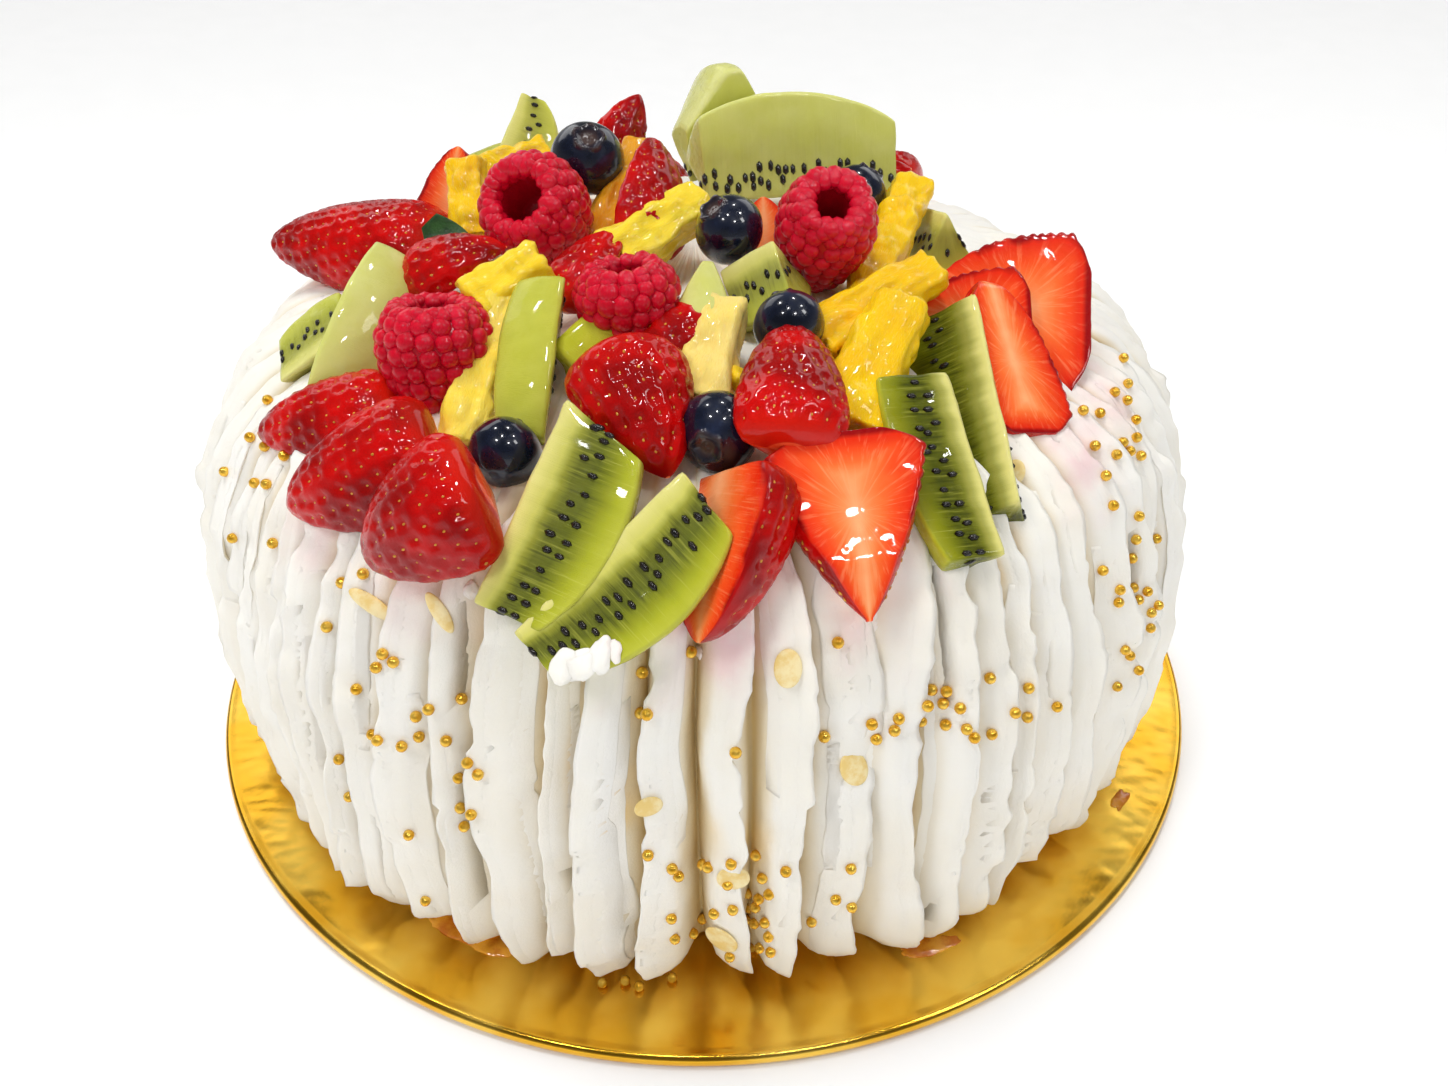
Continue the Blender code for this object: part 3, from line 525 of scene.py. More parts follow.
def strawberry_finish():
    f = Finish("strawberry")
    rho, along, skin = f.field("rho"), f.field("along"), f.field("skin")
    dimple, t, ray = f.field("dimple"), f.field("length_share"), f.field("ray")
    streaks = f.noise(f.vector(ray, f.times(rho, 1.6)), 1.0, 3.0, 0.6, 0.3)
    soft = f.noise(f.vector(along, f.times(rho, 9.0)), 0.16, 2.0)
    place = f.plus(rho, f.times(f.maths("SUBTRACT", soft, 0.5), 0.4))
    flesh = f.ramp(place, (
        (0.0, screen(254, 172, 118)), (0.16, screen(252, 144, 84)), (0.36, screen(248, 110, 50)),
        (0.6, screen(242, 78, 30)), (0.84, screen(226, 42, 14)), (0.95, screen(150, 0, 6)),
    ))
    pale = f.times(f.span(streaks, 0.5, 0.66), f.span(rho, 0.97, 0.6))
    flesh = f.mix(f.times(pale, 0.32), flesh, screen(254, 170, 116))
    blush = f.noise(f.place(), 90.0, 2.0)
    red = f.mix(f.span(blush, 0.35, 0.65), screen(142, 0, 3), screen(200, 4, 4))
    red = f.mix(f.span(t, 0.14, 0.0, 0.0, 0.3), red, screen(226, 50, 22))
    # Painted highlight: the skin in the dimples round the seeds is lighter.
    red = f.mix(f.times(dimple, 0.2), red, screen(214, 40, 22))
    colour = f.mix(f.span(skin, 0.25, 0.75), flesh, red)
    grain = f.noise(f.place(), 900.0, 3.0)
    normal = f.bump(f.plus(grain, f.times(streaks, 0.8)), 0.00018, 0.45)
    return f.done(Base_Color=colour, Roughness=f.span(grain, 0.3, 0.7, 0.24, 0.4), Normal=normal,
                  Subsurface_Weight=0.12, Subsurface_Radius=(1.0, 0.2, 0.1), Subsurface_Scale=0.0007,
                  Coat_Weight=0.6, Coat_Roughness=0.04, IOR=1.4, Specular_IOR_Level=0.05)


def plain_finish(name, one, two, scale, roughness=(0.25, 0.45), bump=0.0001, **values):
    """A finish whose colour wanders between two shades, with a fine bump."""
    f = Finish(name)
    blotch = f.noise(f.place(), scale, 4.0, 0.6)
    fine = f.noise(f.place(), scale * 6.0, 3.0)
    normal = f.bump(fine, bump, 0.6)
    return f.done(Base_Color=f.mix(f.span(blotch, 0.35, 0.65), one, two), Normal=normal,
                  Roughness=f.span(fine, 0.3, 0.7, *roughness), **values)


def raspberry_finish():
    f = Finish("raspberry")
    tone, blotch = f.field("tone"), f.noise(f.place(), 260.0, 3.0)
    colour = f.ramp(f.plus(f.times(tone, 0.7), f.times(blotch, 0.3)), (
        (0.1, screen(104, 0, 14)), (0.45, screen(184, 4, 32)), (0.75, screen(210, 12, 44)),
        (1.0, screen(232, 60, 88)),
    ))
    fine = f.noise(f.place(), 1500.0, 3.0)
    return f.done(Base_Color=colour, Roughness=f.span(fine, 0.3, 0.7, 0.28, 0.45),
                  Normal=f.bump(fine, 0.00012, 0.5), Subsurface_Weight=0.2,
                  Subsurface_Radius=(1.0, 0.2, 0.3), Subsurface_Scale=0.0008,
                  Coat_Weight=0.5, Coat_Roughness=0.07, Specular_IOR_Level=0.1)


def blueberry_finish():
    f = Finish("blueberry")
    crown = f.field("crown")
    bloom = f.noise(f.place(), 160.0, 4.0, 0.6)
    skin = f.ramp(bloom, ((0.35, screen(6, 12, 26)), (0.6, screen(14, 23, 46)), (0.85, screen(42, 56, 90))))
    colour = f.mix(crown, skin, screen(70, 52, 48))
    fine = f.noise(f.place(), 1300.0, 2.0)
    return f.done(Base_Color=colour, Roughness=f.span(bloom, 0.3, 0.75, 0.16, 0.42),
                  Normal=f.bump(fine, 0.00006, 0.4), Coat_Weight=0.85, Coat_Roughness=0.03,
                  Specular_IOR_Level=0.2)


def pineapple_finish():
    f = Finish("pineapple")
    tone, along, around = f.field("tone"), f.field("along"), f.field("around")
    fibre = f.noise(f.vector(f.times(along, 0.5), f.times(around, 2.4)), 1.6, 4.0, 0.65)
    base = f.ramp(tone, (
        (0.0, screen(252, 224, 132)), (0.35, screen(255, 222, 58)), (0.7, screen(252, 204, 0)),
        (1.0, screen(238, 164, 30)),
    ))
    colour = f.mix(f.span(fibre, 0.55, 0.75, 0.0, 0.55), base, screen(255, 244, 160))
    colour = f.mix(f.span(fibre, 0.45, 0.25, 0.0, 0.4), colour, screen(246, 176, 8))
    normal = f.bump(fibre, 0.0004, 0.6)
    return f.done(Base_Color=colour, Roughness=f.span(fibre, 0.3, 0.7, 0.22, 0.42), Normal=normal,
                  Subsurface_Weight=0.25, Subsurface_Radius=(1.0, 0.75, 0.2), Subsurface_Scale=0.0015,
                  Coat_Weight=0.5, Coat_Roughness=0.06, Specular_IOR_Level=0.1)


def cream_finish():
    f = Finish("whipped_cream")
    depth, pink, gold = f.field("depth"), f.field("pink"), f.field("gold")
    wander = f.noise(f.place(), 45.0, 3.0)
    white = f.mix(f.span(wander, 0.35, 0.7), screen(250, 247, 239), screen(247, 242, 230))
    # Painted shade and painted gold reflection: the cream turns warmer and darker towards its foot, by its
    # height in millimetres.
    white = f.mix(f.span(f.field("along"), 70.0, 6.0, 0.0, 0.35), white, screen(246, 236, 214))
    # Painted shade: the grooves and the undersides of the torn edges turn ivory and brown by their depth
    # value.
    shaded = f.mix(f.span(depth, 0.5, 0.92), screen(232, 219, 190), screen(206, 178, 118))
    colour = f.mix(f.span(depth, 0.2, 0.6, 0.0, 0.95), white, shaded)
    colour = f.mix(f.times(pink, f.span(f.noise(f.place(), 160.0, 3.0), 0.3, 0.7, 0.35, 1.0)), colour,
                   screen(240, 178, 190))
    colour = f.mix(f.times(gold, f.span(depth, 0.08, 0.4)), colour, screen(236, 190, 66))
    marks = f.noise(f.vector(f.times(f.field("around"), 1.6), f.field("along")), 1.4, 4.0, 0.6)
    pores = f.noise(f.place(), 700.0, 3.0)
    normal = f.bump(f.plus(marks, f.times(pores, 0.2)), 0.00025, 0.35)
    return f.done(Base_Color=colour, Roughness=f.span(wander, 0.3, 0.7, 0.34, 0.5), Normal=normal,
                  Subsurface_Weight=0.2, Subsurface_Radius=(1.0, 0.92, 0.78), Subsurface_Scale=0.0010,
                  Specular_IOR_Level=0.4)


def foil_finish():
    f = Finish("gold_foil")
    wander = f.noise(f.place(), 60.0, 3.0)
    fine = f.noise(f.place(), 500.0, 3.0)
    colour = f.mix(f.span(wander, 0.35, 0.7), screen(234, 176, 48), screen(252, 208, 88))
    return f.done(Base_Color=colour, Metallic=1.0, Roughness=f.span(wander, 0.3, 0.7, 0.16, 0.27),
                  Normal=f.bump(fine, 0.00006, 0.3))


# Cream

# Columns of the cream's grid across a ribbon, as the way down its steep side and down its broad face
STEEP_SAMPLES = (1.0, 0.65, 0.3, 0.1)
BROAD_SAMPLES = (0.0, 0.05, 0.15, 0.3, 0.45, 0.6, 0.75, 0.88, 0.96)
CREAM_ROWS = 68
# Radius that turns an angle round the cream into millimetres along its side
SIDE_RADIUS = 115.0
# Rings of the mound inside the ribbons, and the height over which a ribbon sways from side to side
MOUND_RINGS = (0.066, 0.056, 0.045, 0.033, 0.020, 0.008)
SWAY_HEIGHT = 0.022
# Gap between the cream's foot and the board
FOOT_GAP = 0.00012


def stroke_table():
    """A row for each ribbon: where its groove is, its width, and its habits.

    They are how far it sways and in which phase, how deep its crest and its groove lie, how far its foot
    stands out, where its crest lies across it (0 to 1), the slope of its broad face, how far its end is
    lifted off the board, and where the lower edge on its broad face lies.
    """
    draw = random.Random(DRAWS["ribbons"])
    habit = random.Random(DRAWS["habits"])
    widths = [draw.uniform(0.62, 1.38) for _ in range(STROKE_COUNT)]
    scale = TAU / sum(widths)
    rows = []
    angle = 0.0
    for width in widths:
        width *= scale
        sway = draw.uniform(-0.22, 0.22) * width
        phase = draw.uniform(0.0, TAU)
        crest = draw.uniform(-0.1, 0.22)
        groove = draw.uniform(0.75, 1.15)
        foot = draw.uniform(-0.0010, 0.0012)
        lean = 0.5 + math.copysign(habit.uniform(0.14, 0.30), math.cos(angle + width / 2.0))
        slope = habit.uniform(0.18, 0.52)
        lift = habit.choice((0.0, 0.0, 0.0014, 0.0030, 0.0052))
        step = habit.uniform(0.30, 0.80)
        rows.append((angle, width, sway, phase, crest, groove, foot, lean, slope, lift, step))
        angle += width
    return np.array(rows)


def cream_columns(strokes):
    """For each column of the cream: its stroke, share of the width, way down the steep or the broad face."""
    columns = []
    for k, row in enumerate(strokes):
        lean = row[7]
        if lean < 0.5:
            steep = [(k, lean * (1.0 - v), v, 1.0) for v in STEEP_SAMPLES]
            broad = [(k, lean + u * (1.0 - lean), u, 0.0) for u in BROAD_SAMPLES]
            columns += steep + broad
        else:
            broad = [(k, lean * (1.0 - u), u, 0.0) for u in (1.0,) + BROAD_SAMPLES[:0:-1]]
            steep = [(k, lean + v * (1.0 - lean), v, 1.0) for v in (0.0,) + STEEP_SAMPLES[:0:-1]]
            columns += broad + steep
    return np.array(columns)


def build_cream(materials):
    """The ribbons and the mound as one grid of upright columns; it returns the grid and its tables."""
    strokes = stroke_table()
    columns = cream_columns(strokes)
    k = columns[:, 0].astype(int)
    share, way, steep = columns[:, 1], columns[:, 2][None, :], columns[:, 3][None, :]
    angle0, width, sway, phase, crest, groove, foot, lean, slope, lift, step = strokes[k].T
    after = strokes[(k + 1) % len(strokes)]
    at = np.linspace(0.0, len(CREAM_LINE) - 1.0, CREAM_ROWS)
    line = smooth_row([p[0] for p in CREAM_LINE], at)[:, None]
    height = smooth_row([p[1] for p in CREAM_LINE], at)[:, None]
    depth = smooth_row(GROOVE_DEPTH, at)[:, None]
    body = np.minimum(1.0, depth / 0.005)

    # Height of the ribbon over its groove: a steep side, and a broad face with a second, lower edge
    edge = np.stack(np.broadcast_arrays(k[None, :] * 37.0, height / MM, np.zeros((1, 1))), -1)
    turn = bumps(edge, 26.0, 3)
    slope = slope + 0.16 * turn
    narrow = 1.3 + 3.7 * ease(0.003, 0.014 + 0.016 * (0.5 + 0.5 * np.sin(5.0 * phase)), height)
    broad = 1.0 - slope * way - (1.0 - slope) * way ** narrow
    place = step + 0.22 * bumps(edge, 15.0, 4)
    broad -= 0.22 * ease(place - 0.08, place + 0.03, way) * (1.0 - way ** 4)
    ridge = np.where(steep > 0.5, (1.0 - way) ** 0.55, broad)
    groove = groove + share * (after[:, 5] - groove)

    # The ribbon ends a little over the board, torn and uneven along its edge
    flutter = layered_bumps(edge, 9.0, 5)
    fringe = layered_bumps(edge + (0.0, 0.0, 5.0), 2.6, 8)
    tears = np.clip(bumps(edge, 5.5, 11) - 0.42, 0.0, 1.0)
    sharp = np.where(steep > 0.5, (1.0 - way) ** 2, (1.0 - way) ** 3)
    end = ease(lift - 0.0006, lift + 0.0034, height - 0.0033 - 0.004 * way * (steep < 0.5))
    ridge = ridge * (0.35 + 0.65 * end)
    radius = line - depth * (groove * (1.0 - ridge) + crest * ridge)
    radius += MM * (0.9 * flutter * ridge ** 2 + 0.3 * fringe * sharp - 2.5 * tears * sharp) * body
    radius += (foot + 0.0008) * ridge * ease(0.016, 0.005, height)

    lean_way = np.sign(lean - 0.5)
    overhang = (0.24 + 0.12 * np.sin(1.7 * phase + height / 0.026)) * lean_way
    here = 0.3 * sway * np.sin(phase + height / SWAY_HEIGHT)
    there = 0.3 * after[:, 2] * np.sin(after[:, 3] + height / SWAY_HEIGHT)
    drift = here + share * (there - here) + 0.7 * sway * np.sin(phase + height / SWAY_HEIGHT) * ridge
    angle = angle0 + share * width + drift + overhang * width * np.clip(ridge, 0.0, 1.0) ** 4 * body
    wobble = 0.16 * bumps(edge, 17.0, 13) + 0.06 * flutter
    angle = angle + width * body * (wobble * ridge + 0.05 * fringe * sharp)
    rise = height + 1.2 * MM * flutter * ridge * ease(0.004, 0.03, height)
    rise += lift * ease(0.5, 1.0, ridge) * ease(0.012, 0.0033, height)
    rows = np.stack((radius * np.cos(angle), radius * np.sin(angle), np.broadcast_to(rise, radius.shape)), -1)
    base = rows[:1].copy()
    base[..., :2] *= 0.985
    base[..., 2] = BOARD_TOP + FOOT_GAP
    tops = []
    for r in MOUND_RINGS:
        rim, top = CREAM_LINE[-1]
        z = top + MOUND_RISE * (1.0 - (r / rim) ** 2)
        ring = np.stack((r * np.cos(angle[-1]), r * np.sin(angle[-1]), np.full(len(angle[-1]), z)), -1)
        ring[:, 2] += 1.2 * MM * bumps(ring, 0.012, 3)
        tops.append(ring)
    rows = np.concatenate((base, rows, np.array(tops)))
    rows += CREAM_CENTRE
    patches = ease(0.0, 0.25, bumps(rows, 0.012, 26))
    lumps = layered_bumps(rows, 0.0045, 21) + 1.2 * bumps(rows, 0.0017, 25) * patches
    around = np.broadcast_to(np.unwrap(angle[-1])[None, :] * SIDE_RADIUS, rows.shape[:2])
    lines = np.stack((around / 1.7, rows[..., 2] / MM / 16.0, np.zeros(around.shape)), -1)
    lumps = lumps + 0.9 * bumps(lines, 1.0, 28)
    rows[1:] += (grid_normals(rows) * (0.20 * MM * lumps)[..., None])[1:]
    # Depth in the grooves, which the cream's finish paints as shade.
    hollow = np.zeros(rows.shape[:2])
    hollow[1:CREAM_ROWS + 1] = (1.0 - np.clip(ridge, 0.0, 1.0)) * body
    points, faces = close_grid(rows)
    fields = cream_fields(points, close_field(hollow), close_field(around.copy()))
    build = Build()
    build.add(points, faces, 0, fields)
    build.finish("cream_strokes", [materials["cream"]], "cream", "cream")
    return rows, columns, strokes


def cream_fields(points, hollow, around):
    """Values for the cream's finish: depth in the grooves, which it paints as shade, two ways along it, whose
    height also paints shade and gold reflection at the foot, and the two stains.
    """
    return {
        "depth": hollow, "along": points[:, 2] / MM, "around": around,
        "pink": stain(points, PINK_STAINS), "gold": stain(points, GOLD_STAINS),
    }


# Points along a torn edge and along the longest fold, and the points over which their ends fade out
EDGE_STEPS = 90
FOLD_STEPS = 66
FADE_STEPS = 9.0
# Rows of the cream's grid between which the edges run
EDGE_FIRST, EDGE_LAST = 2.0, CREAM_ROWS - 5.0


def edge_strip(build, rows, at, line, near, far, size, seed):
    """One thin torn edge along a column of the cream, rooted in the two columns beside it."""
    edge, near, far = (
        np.stack([smooth_row(rows[:, column % rows.shape[1], axis], at) for axis in range(3)], -1)
        for column in (line, near, far)
    )
    across = edge - near
    across /= np.linalg.norm(across, axis=1, keepdims=True)
    out = np.cross(across, np.gradient(edge, axis=0))
    out /= np.linalg.norm(out, axis=1, keepdims=True)
    out *= np.sign(np.sum(out * (edge - (0.0, 0.0, 0.05)), axis=1))[:, None]
    spot = edge / MM
    ends = np.minimum(np.arange(len(at)), np.arange(len(at))[::-1])
    fade = np.minimum(1.0, ends / FADE_STEPS)
    reach = 1.2 + 1.5 * bumps(spot, 13.0, seed) + 0.22 * bumps(spot, 3.0, seed + 1)
    reach -= 5.0 * np.clip(bumps(spot, 5.5, seed + 2) - 0.5, 0.0, 1.0)
    reach = (np.clip(size * reach, 0.1, 3.0) * fade)[:, None]
    curl = reach * (0.05 + 0.35 * bumps(spot, 12.0, seed + 3)[:, None])
    grid = np.stack((
        far - out * 0.16 * MM, near + out * 0.03 * MM, edge + out * 0.07 * MM,
        edge + (across * 0.5 * reach + out * (0.07 * fade[:, None] + 0.4 * curl)) * MM,
        edge + (across * reach + out * curl) * MM,
        edge + (across * (reach - 0.06) + out * (curl - 0.18)) * MM,
        edge + (across * 0.4 * reach + out * (0.4 * curl - 0.6)) * MM,
        near - out * 1.2 * MM,
    ), 1)
    points, faces = close_grid(grid)
    # Painted shade: the edge's underside gets depth values, which the cream's finish paints darker.
    hollow = np.zeros(grid.shape[:2])
    hollow[:, 5:] = (0.3, 0.6, 0.9)
    around = np.arctan2(points[:, 1], points[:, 0]) * SIDE_RADIUS
    build.add(points, faces, 0, cream_fields(points, close_field(hollow), around))


def build_edges(materials, rows, columns, strokes):
    """Thin torn edges past the crest of each ribbon, and shorter folds on the broad faces."""
    edges, folds = Build(), Build()
    draw = random.Random(DRAWS["folds"])
    whole = np.linspace(EDGE_FIRST, EDGE_LAST, EDGE_STEPS)
    for k in range(STROKE_COUNT):
        crest = int(np.flatnonzero((columns[:, 0] == k) & (columns[:, 2] == 0.0))[0])
        inward = 1 if strokes[k, 7] < 0.5 else -1
        edge_strip(edges, rows, whole, crest, crest + 2 * inward, crest + 4 * inward, 1.0, 33)
        for _ in range(draw.choice((0, 1, 1, 2))):
            line = crest + draw.choice((4, 5, 6)) * inward
            first = draw.uniform(EDGE_FIRST, 0.45 * EDGE_LAST)
            last = min(EDGE_LAST, first + draw.uniform(0.3, 0.6) * EDGE_LAST)
            steps = max(24, round(FOLD_STEPS * (last - first) / (0.6 * EDGE_LAST)))
            edge_strip(folds, rows, np.linspace(first, last, steps), line, line - inward, line - 2 * inward,
                       draw.uniform(0.5, 0.9), 43)
    edges.finish("cream_edges", [materials["cream"]], "cream", "cream")
    folds.finish("cream_folds", [materials["cream"]], "cream", "cream")


# Torn crumbs of cream as the camera sees them: pixel, size in millimetres
CREAM_CRUMBS = (
    ((566, 668), 5.0), ((584, 666), 6.0), ((601, 658), 5.4), ((616, 650), 3.6), ((470, 590), 3.0),
    ((700, 652), 2.6),
)


def build_crumbs(materials):
    """Torn lumps of cream, flat on what the camera sees at their pixels."""
    build = Build()
    depsgraph = bpy.context.evaluated_depsgraph_get()
    draw = random.Random(DRAWS["crumbs"])
    for k, (pixel, size) in enumerate(CREAM_CRUMBS):
        hit = first_hit(depsgraph, CAMERA_PLACE, camera_ray(pixel))
        if not hit:
            continue
        rows = ball(30, 18)
        rows *= (1.0 + 0.5 * layered_bumps(rows + 5.0 * k, 1.1, 37))[..., None]
        rows *= np.array((1.0, draw.uniform(0.6, 0.9), draw.uniform(0.22, 0.32))) * size / 2.0 * MM
        up = np.array(hit[1])
        ahead = np.cross(up, (draw.uniform(-1, 1), draw.uniform(-1, 1), 0.3))
        ahead /= np.linalg.norm(ahead)
        axes = np.stack((ahead, np.cross(up, ahead), up))
        points, faces = close_grid(rows)
        points = points @ axes + np.array(hit[0]) + up * 0.06 * size * MM
        build.add(points, faces, 0, cream_fields(points, np.zeros(len(points)), points[:, 0] / MM))
    return build.finish("cream_crumbs", [materials["cream"]], "cream", "cream")


# Syrup that ran on to the board: pixel, length, width and turn in degrees
SYRUP_SPOTS = (
    ((455, 928), 14.0, 5.0, -24), ((490, 944), 12.0, 4.5, -18), ((420, 908), 8.0, 3.0, -30),
    ((928, 948), 13.0, 4.0, 14), ((1120, 800), 7.0, 3.0, 50),
)


def build_syrup(materials):
    """Thin puddles on the board's face."""
    build = Build()
    for k, (pixel, long, wide, degrees) in enumerate(SYRUP_SPOTS):
        ray = camera_ray(pixel)
        place = CAMERA_PLACE + ray * ((BOARD_FACE - CAMERA_PLACE.z) / ray.z)
        rows = ball(64, 14)
        rows[..., :2] *= (1.0 + 0.45 * layered_bumps(rows * (1.0, 1.0, 0.0) + 7.0 * k, 0.7, 50))[..., None]
        rows *= np.array((long / 2.0, wide / 2.0, 0.40))
        rows[..., 2] += 0.10 * layered_bumps(rows, 1.6, 52) * (rows[..., 2] > 0.0)
        turn = np.array(Matrix.Rotation(math.radians(degrees), 3, "Z"))
        build.add_grid(rows, lambda p: p @ turn.T * MM + np.array(place))
    return build.finish("syrup_spots", [materials["syrup"]], "cream", "cream")


# Juice on the cream: middle in millimetres, reach and strength
PINK_STAINS = (
    ((-4, -101, 93), 9.0, 0.75), ((6, -104, 88), 8.0, 0.6), ((-45, -92, 90), 8.0, 0.3),
    ((27, -104, 89), 7.0, 0.5), ((70, -62, 97), 9.0, 0.55), ((78, -45, 98), 8.0, 0.45),
    ((-66, -78, 91), 9.0, 0.3),
)
GOLD_STAINS = (
    ((62, -80, 93), 5.0, 0.8), ((66, -76, 95), 4.0, 0.6), ((56, -88, 90), 6.0, 0.4),
    ((-80, -60, 90), 8.0, 0.12), ((-15, -109, 62), 4.5, 0.6), ((-14, -110, 52), 4.0, 0.7),
    ((8, -112, 45), 5.0, 0.6),
)


def stain(points, spots):
    """Strength of the juice at each point, strongest in the middle of each spot."""
    total = np.zeros(len(points))
    wobble = 1.0 + 0.5 * bumps(points / MM, 5.0, 31)
    for middle, reach, strength in spots:
        distance = np.linalg.norm(points / MM - np.array(middle), axis=1) * wobble
        total = np.maximum(total, strength * np.exp(-(distance / reach) ** 2))
    return total


# Board

BOARD_COLUMNS = 860
# Section of the board up to its face, as radius and height, and the height of the face and its rings
BOARD_EDGE = (
    (0.002, 0.0), (0.060, 0.0), (0.118, 0.0), (0.1236, 0.0001), (0.1247, 0.0006), (0.1250, 0.0013),
    (0.12495, 0.0021), (0.1246, 0.0028), (0.1240, 0.00305), (0.1234, 0.0030),
)
BOARD_FACE = 0.0028
FACE_RINGS = list(np.linspace(0.1228, 0.1090, 18)) + [0.104, 0.098, 0.080, 0.050, 0.010]


def build_board(materials):
    """Foil board: flat below, a rolled rim, and a face with wrinkles pressed in at the left and the right."""
    angle = np.arange(BOARD_COLUMNS) / BOARD_COLUMNS * TAU
    profile = np.array(list(BOARD_EDGE) + [(r, BOARD_FACE) for r in FACE_RINGS])
    radius = np.broadcast_to(profile[:, :1], (len(profile), BOARD_COLUMNS))
    height = np.broadcast_to(profile[:, 1:], radius.shape).copy()
    x, y = radius * np.cos(angle), radius * np.sin(angle)
    spot = np.stack((x / MM, y / MM, 0.0 * x), -1)
    crease = np.abs(bumps(spot * (0.35, 1.0, 1.0), 1.9, 41)) * 2.0 - 1.0
    crease += 0.6 * bumps(spot * (0.5, 1.0, 1.0), 1.1, 43)
    waves = layered_bumps(spot, 9.0, 45)
    inside = ease(0.1231, 0.1216, radius) * (np.arange(len(profile)) >= len(BOARD_EDGE))[:, None]
    sides = ease(0.25, 0.75, np.abs(np.cos(angle)))[None, :]
    height += inside * MM * ((0.010 + 0.040 * sides) * crease + 0.08 * waves)
    build = Build()
    build.add_grid(np.stack((x, y, height), -1), lambda p: p)
    return build.finish("gold_board", [materials["foil"]], "board", "cake_board")


# Fruit

# Sizes of a strawberry's seeds, and the distance over which its dimples and the rims round them fall off
ACHENE_SIZE = (0.42, 0.26, 0.18)
SLICE_ACHENE_SIZE = (0.45, 0.28, 0.18)
DIMPLE_REACH, DIMPLE_DEPTH = 0.85, 0.62
DIMPLE_RIM, DIMPLE_RIM_HEIGHT = 1.5, 0.24
SEED_BALL = ball(6, 3)
LEAF_END_ROUNDING = 1.3
# How far the upper edge of a slice is drawn in, to lie behind what covers it
SLICE_SQUEEZE = {"strawberry_slice_right_2": 0.84}


def strawberry_reach(t):
    """Radius over the largest one, from the leaf end (0) to the tip (1)."""
    shoulder = 0.82 + 0.18 * np.sin(np.minimum(1.0, t / 0.2) * math.pi / 2.0)
    return np.maximum(0.0, 1.0 - t ** 2.1) ** 0.7 * shoulder


def slice_reach(t, fall, round_off):
    """The same for a slice, whose leaf end has rounded corners."""
    corner = np.minimum(1.0, np.sqrt(0.3 + t / 0.16))
    return np.maximum(0.0, 1.0 - t ** fall) ** round_off * corner


def wedge_section(half, arc_points, face_points, apex):
    """Outline of a wedge across its length, for a reach of 1, and which of its points are skin."""
    arc = np.linspace(-half, half, arc_points)
    rim = np.stack((-np.sin(arc), np.cos(arc)), -1)
    share = np.linspace(0.0, 1.0, face_points + 2)[1:-1, None]
    middle = np.array((0.0, apex))
    out = rim[-1] + (middle - rim[-1]) * share
    back = middle + (rim[0] - middle) * share
    section = np.concatenate((rim, out, middle[None], back))
    mask = np.zeros(len(section))
    mask[:arc_points] = 1.0
    return section, mask


def achene_places(length, half, radius, draw):
    """Places of the seeds on a berry's skin, in rows that are offset from each other."""
    places = []
    rows = max(3, round(length * 0.92 / 2.7))
    for i in range(rows):
        t = 0.06 + 0.90 * (i + 0.5) / rows
        reach = radius * float(strawberry_reach(np.array(t)))
        step = 3.1 / max(reach, 1.2)
        a = -half + (0.5 + 0.5 * (i % 2)) * step
        while a < half - 0.25 * step:
            wide = a + draw.uniform(-0.16, 0.16) * step
            places.append(((t + draw.uniform(-0.2, 0.2) / rows) * length, wide))
            a += step
    return places


def berry_skin(rows, mask, places, radius, length):
    """Sink a dimple round every seed and raise the skin between them."""
    targets = []
    for x, a in places:
        reach = radius * float(strawberry_reach(np.array(min(0.995, x / length))))
        targets.append((x, -reach * math.sin(a), reach * math.cos(a)))
    targets = np.array(targets)
    flat = rows.reshape(-1, 3)
    near = np.full(len(flat), 99.0)
    for target in targets:
        near = np.minimum(near, np.linalg.norm(flat - target, axis=1))
    near = near.reshape(rows.shape[:2])
    dimple = np.exp(-(near / DIMPLE_REACH) ** 2) * mask
    swell = DIMPLE_RIM_HEIGHT * np.exp(-((near - DIMPLE_RIM) / 0.6) ** 2) * mask
    rows = rows + grid_normals(rows) * (swell - DIMPLE_DEPTH * dimple)[..., None]
    return rows, dimple, targets


def add_seeds(build, rows, targets, start, axes, sizes, slot, sink, heading):
    """Set seeds on the grid's surface at the points nearest to the targets."""
    flat = rows.reshape(-1, 3)
    normals = grid_normals(rows).reshape(-1, 3)
    picked = [int(np.argmin(((flat - target) ** 2).sum(1))) for target in targets]
    places = flat[picked] + normals[picked] * sink
    world = to_world(places, start, axes)
    stick_on(build, slot, SEED_BALL, world, normals[picked] @ axes, heading(flat[picked]) @ axes, sizes * MM)


def lengthwise(points):
    """Heading of the seeds that lie along a strawberry."""
    return np.broadcast_to(np.array((1.0, 0.0, 0.0)), points.shape)


